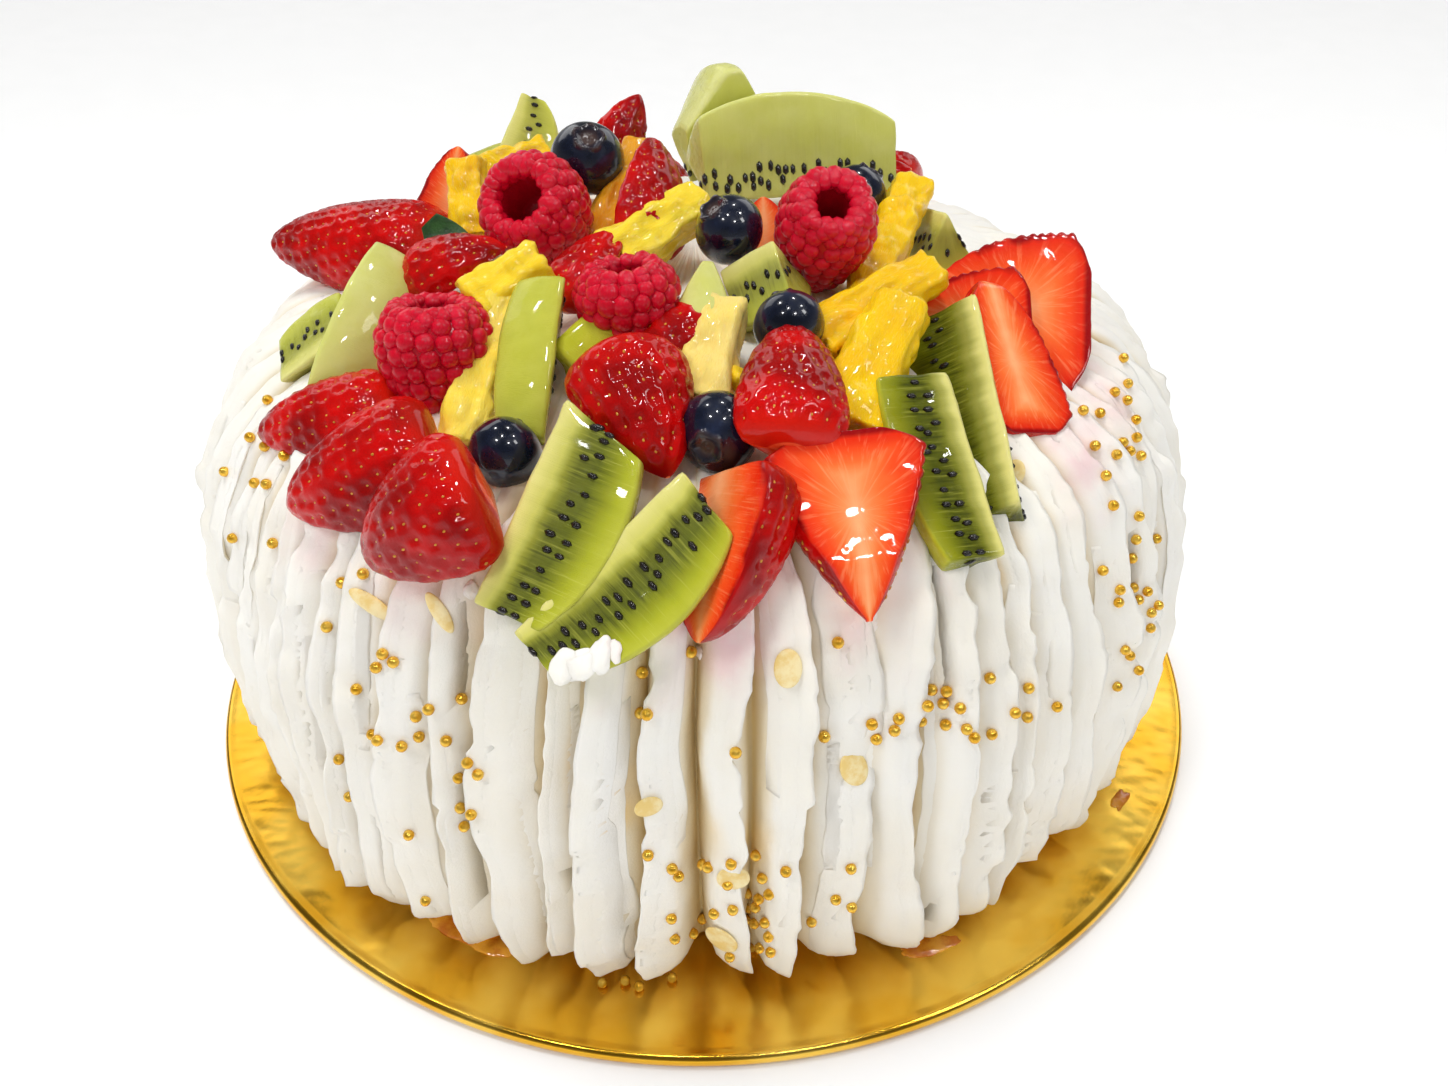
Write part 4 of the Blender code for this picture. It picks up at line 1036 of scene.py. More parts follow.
def build_strawberry_wedge(materials, index, name, base, tip, side, angle, radius):
    """A wedge of a strawberry, from its cut leaf end to its tip, with skin on its round side."""
    draw = random.Random(DRAWS["wedges"] + index)
    start, axes, length = axes_between(base, tip, side)
    half = math.radians(angle) / 2.0
    arc_points = max(16, round(2.0 * half * radius / 0.72))
    section, mask = wedge_section(half, arc_points, 12, -0.06)
    t = 1.0 - (1.0 - np.linspace(0.0, 1.0, max(26, round(length / 0.72)))) ** 1.15
    t[-1] = 0.996
    reach = radius * strawberry_reach(t)
    loops = np.stack(np.broadcast_arrays(t[:, None] * length, reach[:, None] * section[None, :, 0],
                                         reach[:, None] * section[None, :, 1]), -1)
    rows, masks = filled_ends(loops, mask)
    rings = (np.arange(5) + 1.0) / 6.0
    rows[:5, :, 0] -= LEAF_END_ROUNDING * (1.0 - rings ** 2)[:, None]
    masks[2:5] = mask
    rows = relax(rows, 2)
    share = rows[..., 0] / length
    rho = np.hypot(rows[..., 1], rows[..., 2]) / (radius * strawberry_reach(np.clip(share, 0.0, 0.97)) + 1e-6)
    along = rows[..., 0].copy()
    rows, dimple, targets = berry_skin(rows, masks, achene_places(length, half, radius, draw), radius, length)
    rows += grid_normals(rows) * (0.25 * layered_bumps(rows, 6.0, index) * (1.0 - masks))[..., None]
    build = Build()
    build.add_grid(rows, lambda p: to_world(p, start, axes), rho=rho, along=along, skin=masks, dimple=dimple,
                   length_share=share, ray=2.2 * along - 6.0 * rho)
    sizes = np.array([ACHENE_SIZE] * len(targets)) * np.array([[draw.uniform(0.85, 1.15)] for _ in targets])
    add_seeds(build, rows, targets, start, axes, sizes, 1, 0.02, lengthwise)
    return build.finish(name + "_piece", [materials["strawberry"], materials["achene"]], "strawberry", name)


def build_strawberry_slice(materials, index, name, base, tip, face, thickness, radius, fall, round_off):
    """A flat slice through a strawberry, with skin round its edge."""
    draw = random.Random(DRAWS["slices"] + index)
    start, axes, length = axes_between(base, tip, face)
    t = 1.0 - (1.0 - np.linspace(0.0, 1.0, 66) ** 1.2) ** 1.15
    t[-1] = 0.998
    reach_line = radius * np.maximum(0.04, slice_reach(t, fall, round_off))
    face_points, rim_points = 40, 8
    loops = []
    for share, reach in zip(t, reach_line):
        rise = min(thickness / 2.0, 0.62 * reach)
        edge = math.asin(rise / reach)
        across = np.linspace(-reach * math.cos(edge), reach * math.cos(edge), face_points)
        bend = np.linspace(edge, -edge, rim_points + 2)[1:-1]
        upper = np.stack((across, np.full(face_points, rise)), -1)
        right = reach * np.stack((np.cos(bend), np.sin(bend)), -1)
        section = np.concatenate((upper, right, -upper, -right))
        loops.append(np.column_stack((np.full(len(section), share * length), section)))
    loops = np.array(loops)
    mask = np.zeros(loops.shape[1])
    mask[face_points:face_points + rim_points] = 1.0
    mask[2 * face_points + rim_points:] = 1.0
    rows, masks = filled_ends(loops, mask)
    masks[:5] = 1.0
    rows = relax(rows, 1)
    share = rows[..., 0] / length
    reach_here = np.interp(share, t, reach_line)
    from_end = rows[..., 0] / radius
    rho = np.maximum(np.abs(rows[..., 1]) / reach_here, 1.0 - np.clip(from_end, 0.0, 1.0) * 1.6)
    rho = np.clip(rho, 0.0, 1.0)
    along = rows[..., 0].copy()
    edge_share = ease(0.84, 1.0, np.maximum(np.abs(rows[..., 1]) / reach_here, 1.0 - from_end * 6.0))
    notch = np.abs(np.sin(along * math.pi / 2.3 + 1.5 * bumps(rows, 4.0, 62 + index)))
    lumps = 0.22 * layered_bumps(rows, 5.0, 60 + index) * (1.0 - masks)
    rows += grid_normals(rows) * lumps[..., None]
    rows[..., 1] *= 1.0 + (0.05 * notch - 0.035) * edge_share
    rows[..., 1] *= np.where(rows[..., 1] > 0.0, SLICE_SQUEEZE.get(name, 1.0), 1.0)
    build = Build()
    build.add_grid(rows, lambda p: to_world(p, start, axes), rho=rho, along=along, skin=masks,
                   dimple=np.zeros(rows.shape[:2]), length_share=share,
                   ray=np.arctan2(rows[..., 1], 0.45 * length - rows[..., 0]) * 12.0)
    targets = []
    for k in range(30):
        share = 0.05 + 0.88 * (k // 2 + draw.uniform(0.2, 0.8)) / 15
        reach = float(np.interp(share, t, reach_line))
        targets.append((share * length, reach * (1 if k % 2 else -1), draw.uniform(-0.3, 0.3) * thickness))
    sizes = np.array([SLICE_ACHENE_SIZE] * len(targets))
    add_seeds(build, rows, targets, start, axes, sizes, 1, 0.02, lengthwise)
    return build.finish(name + "_piece", [materials["strawberry"], materials["achene"]], "strawberry", name)


# How dark the rayed band of each kiwi piece is, how far out of the fruit its inner edge lies, how pale it is
# and how far the dark tone covers its whole face; the other pieces have the last row's values
KIWI_LOOKS = {
    "kiwi_dome": (0.15, 0.24, 1.0, 0.0), "kiwi_peak": (0.05, 0.45, 1.0, 0.0),
    "kiwi_left": (0.3, 0.0, 0.6, 0.0), "kiwi_far_left": (0.5, 0.0, 0.3, 0.0),
    "kiwi_smooth": (0.1, 0.2, 0.1, 0.0), "kiwi_tucked": (0.3, 0.1, 0.0, 0.0),
    "kiwi_tooth": (0.1, 0.4, 0.6, 0.0), "kiwi_point": (0.6, 0.0, 0.4, 0.0),
    "kiwi_back_left": (0.4, 0.0, 0.4, 0.0), "kiwi_right_tip": (0.5, 0.0, 0.4, 0.0),
    "kiwi_front": (0.95, 0.0, 0.1, 0.0), "kiwi_front_left": (0.95, 0.0, 0.1, 0.1),
    "kiwi_right_front": (1.0, 0.0, 0.0, 0.5), "kiwi_right_back": (1.0, 0.0, 0.0, 0.6),
    "others": (1.0, 0.0, 0.0, 0.0),
}


# Where the seeds lie between the core line (0) and the skin (1), and their size over the usual one
KIWI_SEEDS = {"kiwi_dome": (0.31, 0.50, 1.35), "others": (0.38, 0.62, 1.05)}
KIWI_SEED_GAP = 1.9


def build_kiwi(materials, index, name, first, last, side, angle, radius, ends, slant=0.0, knife=None):
    """A wedge of kiwi along the fruit, with its cut ends, and seeds in a band between core and skin."""
    draw = random.Random(DRAWS["kiwi"] + index)
    start, axes, length = axes_between(first, last, side)
    half = math.radians(angle) / 2.0
    section, mask = wedge_section(half, max(10, round(2.0 * half * radius / 1.0)), 21, 0.0)
    steps = max(20, round(length / 0.85))
    share = np.linspace(0.0, 1.0, steps)
    place = ends[0] + (ends[1] - ends[0]) * share
    outline = np.interp(share * 5.0, range(6), knife) if knife else np.sqrt(1.0 - (0.92 * place) ** 2)
    reach = radius * outline
    band, inner, pale, deep = KIWI_LOOKS.get(name, KIWI_LOOKS["others"])
    seed_low, seed_high, seed_size = KIWI_SEEDS.get(name, KIWI_SEEDS["others"])
    spread = np.hypot(section[:, 0], section[:, 1])
    x = share[:, None] * length + slant * (reach * share)[:, None] * spread[None, :]
    loops = np.stack((x, reach[:, None] * section[None, :, 0], reach[:, None] * section[None, :, 1]), -1)
    rows, masks = filled_ends(loops, mask, 8)
    rho = np.hypot(rows[..., 1], rows[..., 2])
    reach_all = np.interp(rows[..., 0], share * length, reach)
    rho = inner + (1.0 - inner) * rho / reach_all
    around = np.arctan2(rows[..., 1], rows[..., 2] + 1e-6) * 6.0
    along = rows[..., 0].copy()
    rows = relax(rows, 2)
    ridges = 0.10 * bumps(rows * (1.0, 0.25, 0.25), 1.1, 70 + index) * ease(0.2, 0.4, rho) * (1.0 - masks)
    hollow = -0.25 * np.exp(-((rho - 0.47) / 0.16) ** 2) * (1.0 - masks)
    rows += grid_normals(rows) * (ridges + hollow + 0.3 * layered_bumps(rows, 7.0, index))[..., None]
    build = Build()
    even = np.ones(rows.shape[:2])
    build.add_grid(rows, lambda p: to_world(p, start, axes), rho=rho, along=along, around=around, skin=masks,
                   band=band * even, pale=pale * even, deep=deep * even)
    targets = []
    for sign in (-1.0, 1.0):
        x = 0.8
        while x < length - 0.6:
            here = float(np.interp(x, share * length, reach))
            for _ in range(draw.choice((2, 2, 3))):
                r = here * (draw.uniform(seed_low, seed_high) - inner) / (1.0 - inner)
                wide = half * sign
                targets.append((x + draw.uniform(-0.5, 0.5), -r * math.sin(wide), r * math.cos(wide)))
            x += draw.uniform(0.9, 1.7)
    for end in (0.0, length):
        here = float(np.interp(end, share * length, reach))
        for _ in range(round(angle / 11)):
            wide = draw.uniform(-0.85, 0.85) * half
            r = here * (draw.uniform(seed_low, seed_high) - inner) / (1.0 - inner)
            targets.append((end, -r * math.sin(wide), r * math.cos(wide)))
    apart = []
    for target in targets:
        if target[2] > 0.3 and all(math.dist(target, other) > KIWI_SEED_GAP for other in apart):
            apart.append(target)
    targets = apart or [(length / 2.0, 0.0, 0.4 * radius)]
    sizes = [(draw.uniform(0.85, 1.05), draw.uniform(0.48, 0.60), 0.34) for _ in targets]

    def outward(p):
        return np.column_stack((0.25 * np.sin(9.0 * p[:, 0]), p[:, 1], p[:, 2]))

    add_seeds(build, rows, targets, start, axes, np.array(sizes) * seed_size, 1, 0.08, outward)
    return build.finish(name + "_piece", [materials["kiwi"], materials["kiwi_seed"]], "kiwi", name)


# Tone of each pineapple piece, from pale (0) over yellow to amber (1)
PINEAPPLE_TONES = {
    "pineapple_back_left": 0.72, "pineapple_stub": 0.78, "pineapple_amber": 0.98, "pineapple_centre": 0.35,
    "pineapple_left": 0.45, "pineapple_stick": 0.25, "pineapple_pale": 0.05, "pineapple_right_1": 0.7,
    "pineapple_right_2": 0.75, "pineapple_right_3": 0.72,
}


# Where the look of a piece starts along it, when something else covers its end
PINEAPPLE_START = {"pineapple_left": 0.24}


def build_pineapple(materials, index, name, first, last, side, width, thickness, narrowing):
    """A cut piece with blunt edges, scallops on its outer side, fibres and facets."""
    start, axes, length = axes_between(first, last, side)
    seed = Vector(first) * MM * 0.37
    columns, steps = 56, max(24, round(length / 0.6))
    angle = np.arange(columns) / columns * TAU
    square = (np.abs(np.cos(angle)) ** 3.4 + np.abs(np.sin(angle)) ** 3.4) ** (-1.0 / 3.4)
    t = np.linspace(PINEAPPLE_START.get(name, 0.0), 1.0, steps)
    taper = 1.0 + (narrowing - 1.0) * t
    loops = np.stack((
        np.broadcast_to(t[:, None] * length, (steps, columns)),
        0.5 * width * taper[:, None] * (square * np.cos(angle))[None, :],
        0.5 * thickness * taper[:, None] * (square * np.sin(angle))[None, :],
    ), -1)
    rows, _ = filled_ends(loops, np.ones(columns), 5)
    for point in rows.reshape(-1, 3):
        point += 0.9 * np.array(noise.noise_vector(Vector(point) / 5.0 + seed))
    rows = relax(rows, 1)
    along, around = rows[..., 0].copy(), np.arctan2(rows[..., 2], rows[..., 1]) * width / 2.0
    normal = grid_normals(rows)
    outer = ease(0.1, 0.9, np.cos(np.arctan2(rows[..., 2], rows[..., 1]) - 1.9 * index))
    wave = along * math.pi / 4.6 + index + 1.1 * layered_bumps(rows, 6.0, index)
    scallop = (0.08 + 0.5 * outer) * (np.abs(np.sin(wave)) - 0.6)
    fibres = 0.55 * bumps(rows * (0.2, 1.0, 1.0), 1.1, 80 + index)
    fibres -= 0.8 * np.abs(bumps(rows * (0.3, 1.0, 1.0), 2.6, 86 + index))
    facets = 0.5 * np.abs(bumps(rows, 4.2, 90 + index)) + 0.25 * layered_bumps(rows, 2.4, 92 + index)
    rows += normal * (scallop + fibres + facets)[..., None]
    build = Build()
    points, faces = close_grid(rows)
    tone = PINEAPPLE_TONES[name] + 0.12 * layered_bumps(points, 6.0, 95 + index)
    build.add(to_world(points, start, axes), faces, 0, {
        "tone": tone, "along": close_field(along), "around": close_field(around),
    })
    return build.finish(name + "_piece", [materials["pineapple"]], "pineapple", name)


# Section of a raspberry from the tip over the rim into its hollow, over its radius and its height
RASPBERRY_OUTLINE = (
    (0.36, -0.50), (0.66, -0.38), (0.86, -0.18), (0.97, 0.04), (1.00, 0.24), (0.84, 0.42), (0.60, 0.50),
    (0.42, 0.38), (0.34, -0.05),
)
RASPBERRY_RIM = 6.6
DRUPELET = 3.7
DRUPELET_BALL = ball(10, 7)


def build_raspberry(materials, index, name, middle, hollow, diameter, height):
    """A body with a hollow, covered with rounds of drupelets as far as its rim."""
    draw = random.Random(DRAWS["raspberries"] + index)
    start, axes = axes_round(middle, hollow)
    radius = diameter / 2.0
    outline = np.array(RASPBERRY_OUTLINE) * (radius, height)
    at = np.linspace(0.0, len(outline) - 1.0, 40)
    line = np.stack((smooth_row(outline[:, 0], at), smooth_row(outline[:, 1], at)), -1)
    slope = np.gradient(line, axis=0)
    out = np.stack((slope[:, 1], -slope[:, 0]), -1)
    out /= np.linalg.norm(out, axis=1, keepdims=True)
    body = line - out * 0.65
    angle = np.arange(48) / 48.0 * TAU
    rows = np.stack((body[:, :1] * np.cos(angle), body[:, :1] * np.sin(angle),
                     np.broadcast_to(body[:, 1:], (len(body), 48))), -1)
    build = Build()
    build.add_grid(rows, lambda p: to_world(p, start, axes), tone=np.full(rows.shape[:2], 0.35))
    reach = np.concatenate(([0.0], np.cumsum(np.linalg.norm(np.diff(line, axis=0), axis=1))))
    rim = float(np.interp(RASPBERRY_RIM, at, reach))
    rounds = max(5, round(rim / (0.80 * DRUPELET)))
    places, normals, headings, sizes, tones = [], [], [], [], []
    for row in range(rounds + 1):
        s = min(rim * (row + 0.35) / rounds, rim)
        r, z = np.interp(s, reach, line[:, 0]), np.interp(s, reach, line[:, 1])
        nr, nz = np.interp(s, reach, out[:, 0]), np.interp(s, reach, out[:, 1])
        count = max(5, round(TAU * max(r, 2.0) / (0.97 * DRUPELET)))
        if row >= rounds - 1:
            count = max(12, round(TAU * 0.8 * radius / (0.97 * DRUPELET)))
        turn = draw.uniform(0.0, TAU)
        for i in range(count):
            a = turn + TAU * (i + draw.uniform(-0.12, 0.12)) / count
            ca, sa = math.cos(a), math.sin(a)
            size = DRUPELET / 2.0 * draw.uniform(0.86, 1.22)
            back = size * 0.62
            wide = r - nr * back
            places.append((wide * ca, wide * sa, z - nz * back + draw.uniform(-0.2, 0.2)))
            normals.append((nr * ca, nr * sa, nz))
            headings.append((-nz * ca, -nz * sa, nr))
            stretch = 1.3 if row >= rounds - 1 else 1.05
            sizes.append((size * stretch, size * 1.02, size * 0.84))
            tones.append(0.45 + 0.35 * (row / rounds) + draw.uniform(-0.12, 0.12))
    places = to_world(np.array(places), start, axes)
    stick_on(build, 0, DRUPELET_BALL, places, np.array(normals) @ axes, np.array(headings) @ axes,
             np.array(sizes) * MM, {"tone": tones})
    return build.finish(name + "_piece", [materials["raspberry"]], "raspberry", name)


def build_blueberry(materials, index, name, middle, crown, diameter):
    """A flattened ball with a five-lobed crown round a pit."""
    start, axes = axes_round(middle, crown)
    columns, steps = 52, 40
    level = np.concatenate((np.linspace(0.02, 0.75, 20), np.linspace(0.82, 3.10, steps - 20)))
    angle = np.arange(columns) / columns * TAU
    lobes = 0.5 + 0.5 * np.cos(5.0 * angle + index)
    radius = diameter / 2.0
    edge = 0.36 + 0.05 * lobes[None, :]
    distance = level[:, None]
    rim = np.exp(-((distance - edge) / 0.055) ** 2) * (0.35 + 0.65 * lobes[None, :])
    pit = ease(0.34, 0.16, distance)
    shape = 1.0 + 0.10 * rim - 0.13 * pit
    shape = shape * (1.0 + 0.012 * np.cos(2.0 * angle[None, :] + index))
    unit = np.stack((np.sin(level)[:, None] * np.cos(angle), np.sin(level)[:, None] * np.sin(angle),
                     np.broadcast_to(np.cos(level)[:, None], (steps, columns)) * 0.93), -1)
    rows = unit * (radius * shape)[..., None]
    rows += grid_normals(rows) * (0.10 * bumps(rows, 3.0, index))[..., None]
    mark = np.clip(pit + 0.8 * rim * (distance < 0.5), 0.0, 1.0)
    build = Build()
    build.add_grid(rows, lambda p: to_world(p, start, axes), crown=mark)
    return build.finish(name + "_piece", [materials["blueberry"]], "blueberry", name)


def build_leaf(materials):
    """Thin wavy scrap of leaf, a closed sheet."""
    turn = np.array(Matrix.Rotation(0.9, 3, "X") @ Matrix.Rotation(0.7, 3, "Z"))
    steps, columns = 28, 40
    rows = []
    for i in range(steps):
        s = i / (steps - 1)
        i_cad = 3.0 * s
        wide = LEAF_SIZE[0] / 2.0 * math.sin(math.pi * (i_cad + 0.7) / 4.4)
        loop = []
        for j in range(columns):
            a = TAU * j / columns
            x = wide * math.cos(a)
            side = math.sin(a) * abs(math.sin(a)) ** -0.4 if math.sin(a) else 0.0
            lift = LEAF_THICKNESS * (0.5 + 0.5 * side)
            wave = 1.1 * math.sin(1.7 * i_cad + 0.9 * (x / LEAF_SIZE[0] + 0.5) * 2.0)
            loop.append((x, LEAF_SIZE[1] * (s - 0.5), wave + lift))
        rows.append(loop)
    rows, _ = filled_ends(np.array(rows), np.ones(columns), 2)
    build = Build()
    build.add_grid(rows, lambda p: (p @ turn.T + np.array(LEAF_MIDDLE)) * MM)
    return build.finish("leaf_scrap_piece", [materials["leaf"]], "leaf", "leaf_scrap")


# Small toppings

def camera_ray(pixel):
    """Direction from the camera through a pixel of the photograph."""
    right = (pixel[0] - PHOTO_SIZE[0] / 2.0) / FOCAL_PIXELS
    up = -(pixel[1] - PHOTO_SIZE[1] / 2.0) / FOCAL_PIXELS
    ahead = Vector((0.0, math.cos(CAMERA_TILT), -math.sin(CAMERA_TILT)))
    upward = Vector((0.0, math.sin(CAMERA_TILT), math.cos(CAMERA_TILT)))
    return (ahead + upward * up + Vector((right, 0.0, 0.0))).normalized()


def first_hit(depsgraph, origin, direction):
    """What a ray meets first: place, way its surface faces, and the object's name."""
    found, place, normal, _, item, _ = bpy.context.scene.ray_cast(depsgraph, origin, direction)
    return (place, normal, item.name) if found else None


# What a pearl may lie on, the least gap between two, and how far its middle stands off the cream or the board
PEARL_BEDS = ("cream_strokes", "cream_edges", "cream_folds", "gold_board")
PEARL_GAP = 2.3
PEARL_LIFT, BOARD_PEARL_LIFT = 0.45, 0.95
# Distance from the cake's axis at which a ray towards it starts
RAY_START = 0.3


def side_hit(depsgraph, angle, height):
    """What a level ray towards the cake's axis meets, from the side at the given angle."""
    outward = Vector((math.cos(angle), math.sin(angle), 0.0))
    return first_hit(depsgraph, outward * RAY_START + Vector((0.0, 0.0, height)), -outward)


def pearl_hits():
    """Where the pearls lie: in the shown groups, and scattered over the hidden side."""
    draw = random.Random(DRAWS["pearls"])
    depsgraph = bpy.context.evaluated_depsgraph_get()
    hits = []

    def keep(hit):
        good = hit and hit[2] in PEARL_BEDS
        if good and all((hit[0] - other[0]).length > PEARL_GAP * MM for other in hits):
            hits.append(hit)
            return True
        return False

    for middle, spread, count in PEARL_GROUPS:
        placed = 0
        for _ in range(40 * count):
            if placed == count:
                break
            pixel = (draw.gauss(middle[0], spread[0]), draw.gauss(middle[1], spread[1]))
            placed += keep(first_hit(depsgraph, CAMERA_PLACE, camera_ray(pixel)))
    placed = 0
    while placed < HIDDEN_PEARLS:
        angle, height = draw.uniform(-0.15, math.pi + 0.15), draw.uniform(0.018, 0.094)
        placed += keep(side_hit(depsgraph, angle, height))
    return hits


def build_pearls(materials):
    """All pearls as one piece."""
    hits = pearl_hits()
    build = Build()
    lifts = [BOARD_PEARL_LIFT if hit[2] == "gold_board" else PEARL_LIFT for hit in hits]
    places = np.array([hit[0] + hit[1] * lift * MM for hit, lift in zip(hits, lifts)])
    normals = np.array([hit[1] for hit in hits])
    heading = np.array([hit[1].orthogonal() for hit in hits])
    stick_on(build, 0, ball(12, 8), places, normals, heading, [PEARL_RADIUS * MM] * len(hits))
    return build.finish("gold_pearls", [materials["pearl"]], "cream", "cream")


# Almond flakes as the camera sees them: pixel, length and width in millimetres, turn in degrees
ALMOND_FLAKES = (
    ((372, 604), 9.0, 3.0, 60), ((440, 612), 8.0, 2.6, 25), ((788, 668), 6.5, 4.6, 0),
    ((853, 768), 6.5, 5.2, 20), ((648, 806), 5.0, 3.5, 90), ((733, 877), 6.0, 5.0, 80),
    ((722, 938), 8.0, 6.5, 10), ((1015, 472), 4.5, 3.6, 0),
)
# Flakes on the hidden side: angle in degrees and height in metres, and their length and width in millimetres
HIDDEN_FLAKES = ((98.0, 0.066), (60.0, 0.074), (140.0, 0.05), (15.0, 0.07), (170.0, 0.078))
HIDDEN_FLAKE_SIZE = (7.0, 4.5)


def build_flakes(materials):
    """Thin bent discs that lie on the cream."""
    depsgraph = bpy.context.evaluated_depsgraph_get()
    spots = []
    for pixel, long, wide, turn in ALMOND_FLAKES:
        spots.append((first_hit(depsgraph, CAMERA_PLACE, camera_ray(pixel)), long, wide, turn))
    for degrees, height in HIDDEN_FLAKES:
        spots.append((side_hit(depsgraph, math.radians(degrees), height), *HIDDEN_FLAKE_SIZE, degrees))
    build = Build()
    disc = ball(28, 10)
    disc[..., 2] += 0.35 * disc[..., 0] ** 2
    places, normals, headings, sizes = [], [], [], []
    for hit, long, wide, turn in spots:
        if not hit:
            continue
        place, normal = Vector(hit[0]), Vector(hit[1])
        upward = Vector((0.0, 0.0, 1.0)) - normal * normal.z
        heading = Matrix.Rotation(math.radians(turn), 3, normal) @ upward
        places.append(place + normal * 0.25 * MM)
        normals.append(normal)
        headings.append(heading)
        sizes.append((long / 2.0 * MM, wide / 2.0 * MM, 0.45 * MM))
    stick_on(build, 0, disc, np.array(places), np.array(normals), np.array(headings), np.array(sizes))
    return build.finish("almond_flakes", [materials["almond"]], "cream", "cream")


# Small cut bits of fruit between the large pieces: pixel, three sizes in millimetres, tone
FRUIT_BITS = (((738, 379), (6.0, 4.5, 4.0), 0.55),)


def build_bits(materials):
    """Blunt little blocks set where the camera sees them."""
    build = Build()
    depsgraph = bpy.context.evaluated_depsgraph_get()
    draw = random.Random(DRAWS["bits"])
    for k, (pixel, sizes, tone) in enumerate(FRUIT_BITS):
        hit = first_hit(depsgraph, CAMERA_PLACE, camera_ray(pixel))
        if not hit:
            continue
        rows = ball(36, 20)
        rows = np.sign(rows) * np.abs(rows) ** 0.55
        rows *= (0.80 + 0.16 * layered_bumps(rows + 3.0 * k, 0.8, 54))[..., None]
        rows *= np.array(sizes) / 2.0
        turn = np.array(Matrix.Rotation(draw.uniform(0.0, 3.0), 3, "Z") @ Matrix.Rotation(0.5, 3, "X"))
        build.add_grid(rows, lambda p: p @ turn.T * MM + np.array(hit[0]), tone=np.full(rows.shape[:2], tone),
                       along=rows[..., 0], around=rows[..., 1])
    return build.finish("fruit_bits", [materials["pineapple"]], "pineapple")


# Stage

# Lamps: name, place, width and height in metres, power
LIGHTS = (
    ("key", (-0.42, -0.40, 0.75), (0.16, 0.26), 1.9),
    ("window", (0.50, -0.28, 0.70), (0.12, 0.20), 0.8),
    ("front", (0.05, -1.00, 0.30), (0.60, 0.40), 1.0),
)
# Overhead light: strength, and spread and two tilts in degrees
OVERHEAD_STRENGTH, OVERHEAD_SPREAD, OVERHEAD_TILTS = 1.8, 24.0, (-12.0, -8.0)
# Strength of the surrounding light for diffuse and for glossy rays, its colours level with the eye and above,
# and how far up the second colour starts
SURROUNDING = (0.97, 0.36)
LEVEL_COLOUR, UPPER_COLOUR = (1.0, 0.995, 0.985, 1.0), (0.30, 0.30, 0.295, 1.0)
UPPER_START = 0.45
# Half the floor's width, in metres
FLOOR_HALF = 6.0
# Lamps for glints alone, small ones above and two large ones behind: place, width and height, power
GLINTS = (
    ((-0.22, -0.30, 0.62), (0.05, 0.03), 0.4), ((0.16, -0.36, 0.60), (0.05, 0.03), 0.4),
    ((-0.05, -0.18, 0.70), (0.03, 0.05), 0.4), ((0.10, 0.22, 0.70), (0.05, 0.03), 0.4),
    ((-0.25, 0.12, 0.66), (0.04, 0.04), 0.4), ((0.28, -0.05, 0.66), (0.04, 0.04), 0.4),
    ((-0.62, 0.80, 0.72), (0.80, 0.50), 1.8), ((0.62, 0.80, 0.72), (0.80, 0.50), 1.8),
)


def floor_finish():
    """Plain pale floor with painted shade that darkens it towards the front."""
    f = Finish("floor")
    parts = f.node("ShaderNodeSeparateXYZ", {0: f.place()})
    # Painted shade: the floor darkens towards the front.
    front = f.span(parts.outputs["Y"], 0.05, -0.30)
    colour = f.mix(front, screen(254, 254, 254), screen(228, 229, 233))
    fine = f.noise(f.place(), 40.0, 2.0)
    return f.done(Base_Color=colour, Roughness=f.span(fine, 0.3, 0.7, 0.6, 0.7),
                  Normal=f.bump(fine, 0.0001, 0.2), Emission_Color=(1.0, 1.0, 1.0, 1.0),
                  Emission_Strength=0.07)


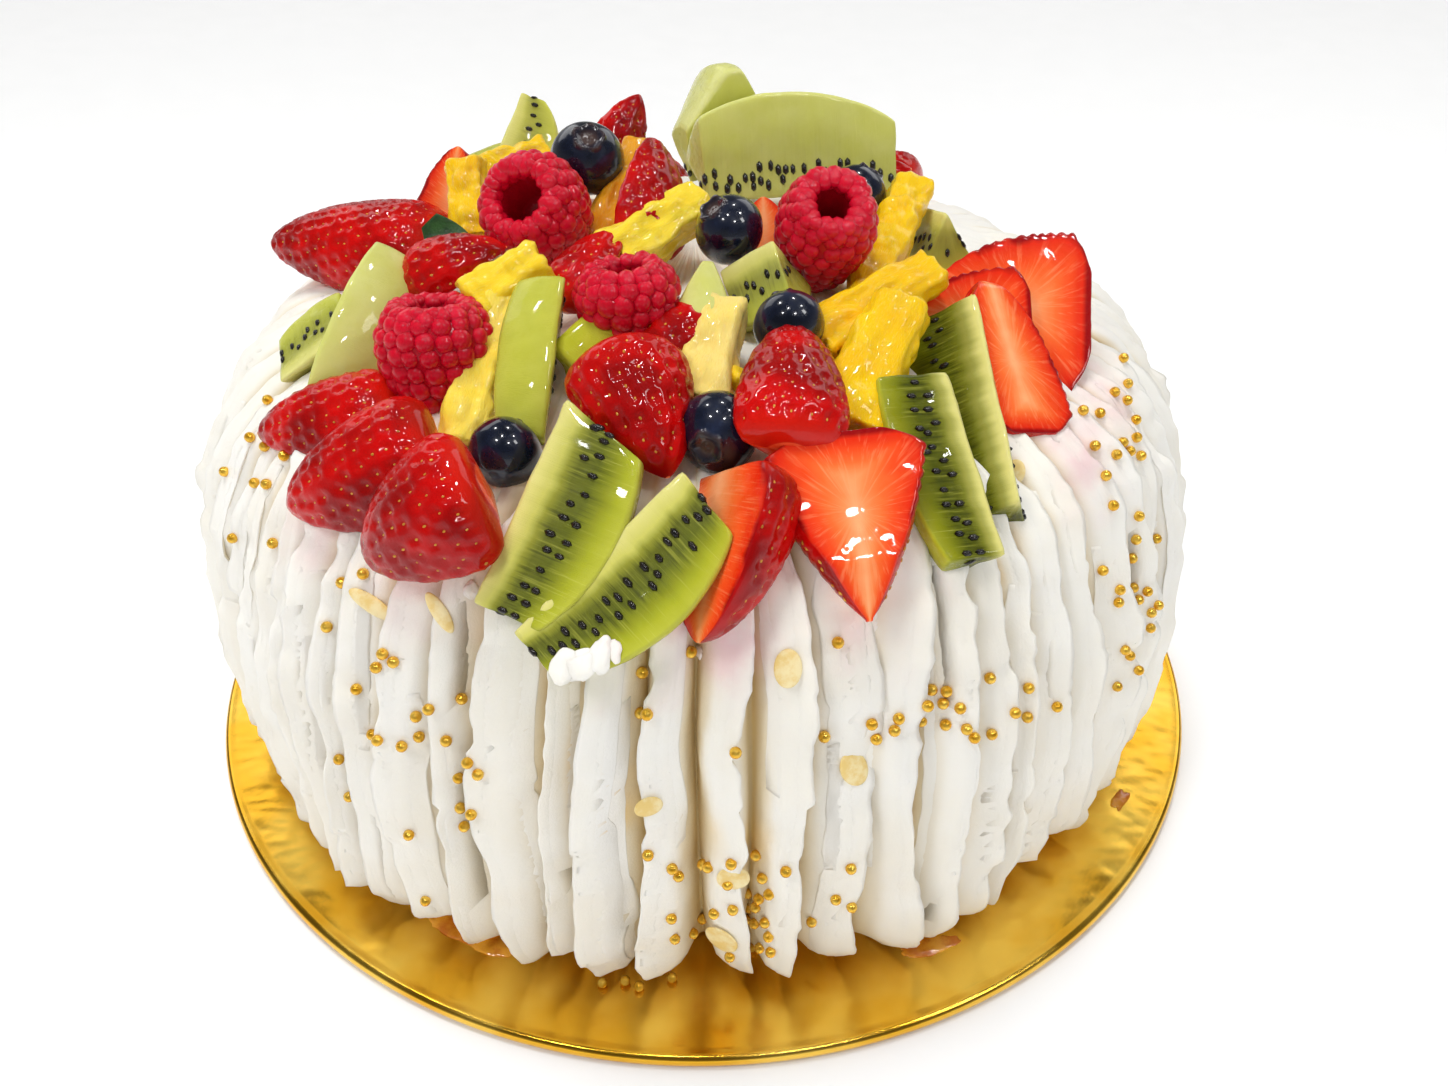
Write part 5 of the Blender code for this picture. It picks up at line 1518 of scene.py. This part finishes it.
def add_stage():
    """Camera, lamps, soft surrounding light and the floor."""
    data = bpy.data.cameras.new("camera")
    data.sensor_width = SENSOR
    data.lens = FOCAL_PIXELS / PHOTO_SIZE[0] * SENSOR
    data.clip_start = 0.01
    camera = bpy.data.objects.new("camera", data)
    camera.location = CAMERA_PLACE
    camera.rotation_euler = (math.pi / 2.0 - CAMERA_TILT, 0.0, 0.0)
    bpy.context.scene.collection.objects.link(camera)
    bpy.context.scene.camera = camera
    lamps = list(LIGHTS) + [("glint_%d" % k, *row) for k, row in enumerate(GLINTS)]
    for name, place, size, power in lamps:
        light = bpy.data.lights.new(name, "AREA")
        light.shape = "RECTANGLE"
        light.size, light.size_y = size
        light.energy = power
        item = bpy.data.objects.new(name, light)
        item.location = place
        item.visible_diffuse = not name.startswith("glint")
        item.visible_glossy = name not in ("front", "key")
        item.rotation_euler = (Vector((0.0, 0.0, 0.08)) - Vector(place)).to_track_quat("-Z", "Y").to_euler()
        bpy.context.scene.collection.objects.link(item)
    overhead = bpy.data.lights.new("overhead", "SUN")
    overhead.energy = OVERHEAD_STRENGTH
    overhead.angle = math.radians(OVERHEAD_SPREAD)
    item = bpy.data.objects.new("overhead", overhead)
    item.rotation_euler = (math.radians(OVERHEAD_TILTS[0]), math.radians(OVERHEAD_TILTS[1]), 0.0)
    item.visible_glossy = False
    bpy.context.scene.collection.objects.link(item)
    world = bpy.data.worlds.new("studio")
    bpy.context.scene.world = world
    world.use_nodes = True
    tree = world.node_tree
    back = tree.nodes["Background"]
    ray = tree.nodes.new("ShaderNodeTexCoord")
    parts = tree.nodes.new("ShaderNodeSeparateXYZ")
    ramp = tree.nodes.new("ShaderNodeValToRGB")
    tree.links.new(ray.outputs["Generated"], parts.inputs[0])
    tree.links.new(parts.outputs["Z"], ramp.inputs["Fac"])
    tree.links.new(ramp.outputs["Color"], back.inputs["Color"])
    ramp.color_ramp.elements[0].color = LEVEL_COLOUR
    ramp.color_ramp.elements[1].position = UPPER_START
    ramp.color_ramp.elements[1].color = UPPER_COLOUR
    rays = tree.nodes.new("ShaderNodeLightPath")
    strength = tree.nodes.new("ShaderNodeMapRange")
    strength.inputs["To Min"].default_value = SURROUNDING[0]
    strength.inputs["To Max"].default_value = SURROUNDING[1]
    tree.links.new(rays.outputs["Is Glossy Ray"], strength.inputs["Value"])
    tree.links.new(strength.outputs[0], back.inputs["Strength"])
    bpy.context.scene.view_settings.view_transform = "Standard"
    mesh = bpy.data.meshes.new("floor")
    corners = [(x * FLOOR_HALF, y * FLOOR_HALF, 0.0) for x, y in ((-1, -1), (1, -1), (1, 1), (-1, 1))]
    mesh.from_pydata(corners, [], [(0, 1, 2, 3)])
    floor = bpy.data.objects.new("floor", mesh)
    bpy.context.scene.collection.objects.link(floor)
    mesh.materials.append(floor_finish())


def make_materials():
    """All finishes by their names."""
    return {
        "kiwi": kiwi_finish(), "strawberry": strawberry_finish(), "raspberry": raspberry_finish(),
        "blueberry": blueberry_finish(), "pineapple": pineapple_finish(), "cream": cream_finish(),
        "foil": foil_finish(),
        "kiwi_seed": plain_finish("kiwi_seed", screen(10, 8, 8), screen(30, 22, 20), 900.0, (0.2, 0.35),
                                  Coat_Weight=0.3),
        "achene": plain_finish("achene", screen(190, 118, 26), screen(230, 176, 66), 800.0, (0.3, 0.45)),
        "leaf": plain_finish("leaf", screen(24, 60, 22), screen(46, 92, 34), 300.0, (0.35, 0.5), 0.0002),
        "pearl": plain_finish("gold_pearl", screen(232, 172, 34), screen(250, 206, 84), 700.0, (0.14, 0.24),
                              Metallic=0.65),
        "syrup": plain_finish("syrup", screen(206, 112, 8), screen(240, 166, 40), 260.0, (0.08, 0.2),
                              Coat_Weight=0.8),
        "almond": plain_finish("almond", screen(240, 208, 128), screen(250, 232, 178), 350.0, (0.4, 0.55)),
    }


def main():
    """Stage, board, cream and fruit, and then what lies on them."""
    add_stage()
    materials = make_materials()
    build_board(materials)
    build_edges(materials, *build_cream(materials))
    noise.seed_set(SEED)
    for index, row in enumerate(STRAWBERRY_WEDGES):
        build_strawberry_wedge(materials, index, *row)
    for index, row in enumerate(STRAWBERRY_SLICES):
        build_strawberry_slice(materials, index, *row)
    for index, row in enumerate(KIWI_WEDGES):
        build_kiwi(materials, index, *row)
    for index, row in enumerate(PINEAPPLE_CHUNKS):
        build_pineapple(materials, index, *row)
    for index, row in enumerate(RASPBERRIES):
        build_raspberry(materials, index, *row)
    for index, row in enumerate(BLUEBERRIES):
        build_blueberry(materials, index, *row)
    build_leaf(materials)
    build_crumbs(materials)
    build_bits(materials)
    build_syrup(materials)
    build_pearls(materials)
    build_flakes(materials)


main()
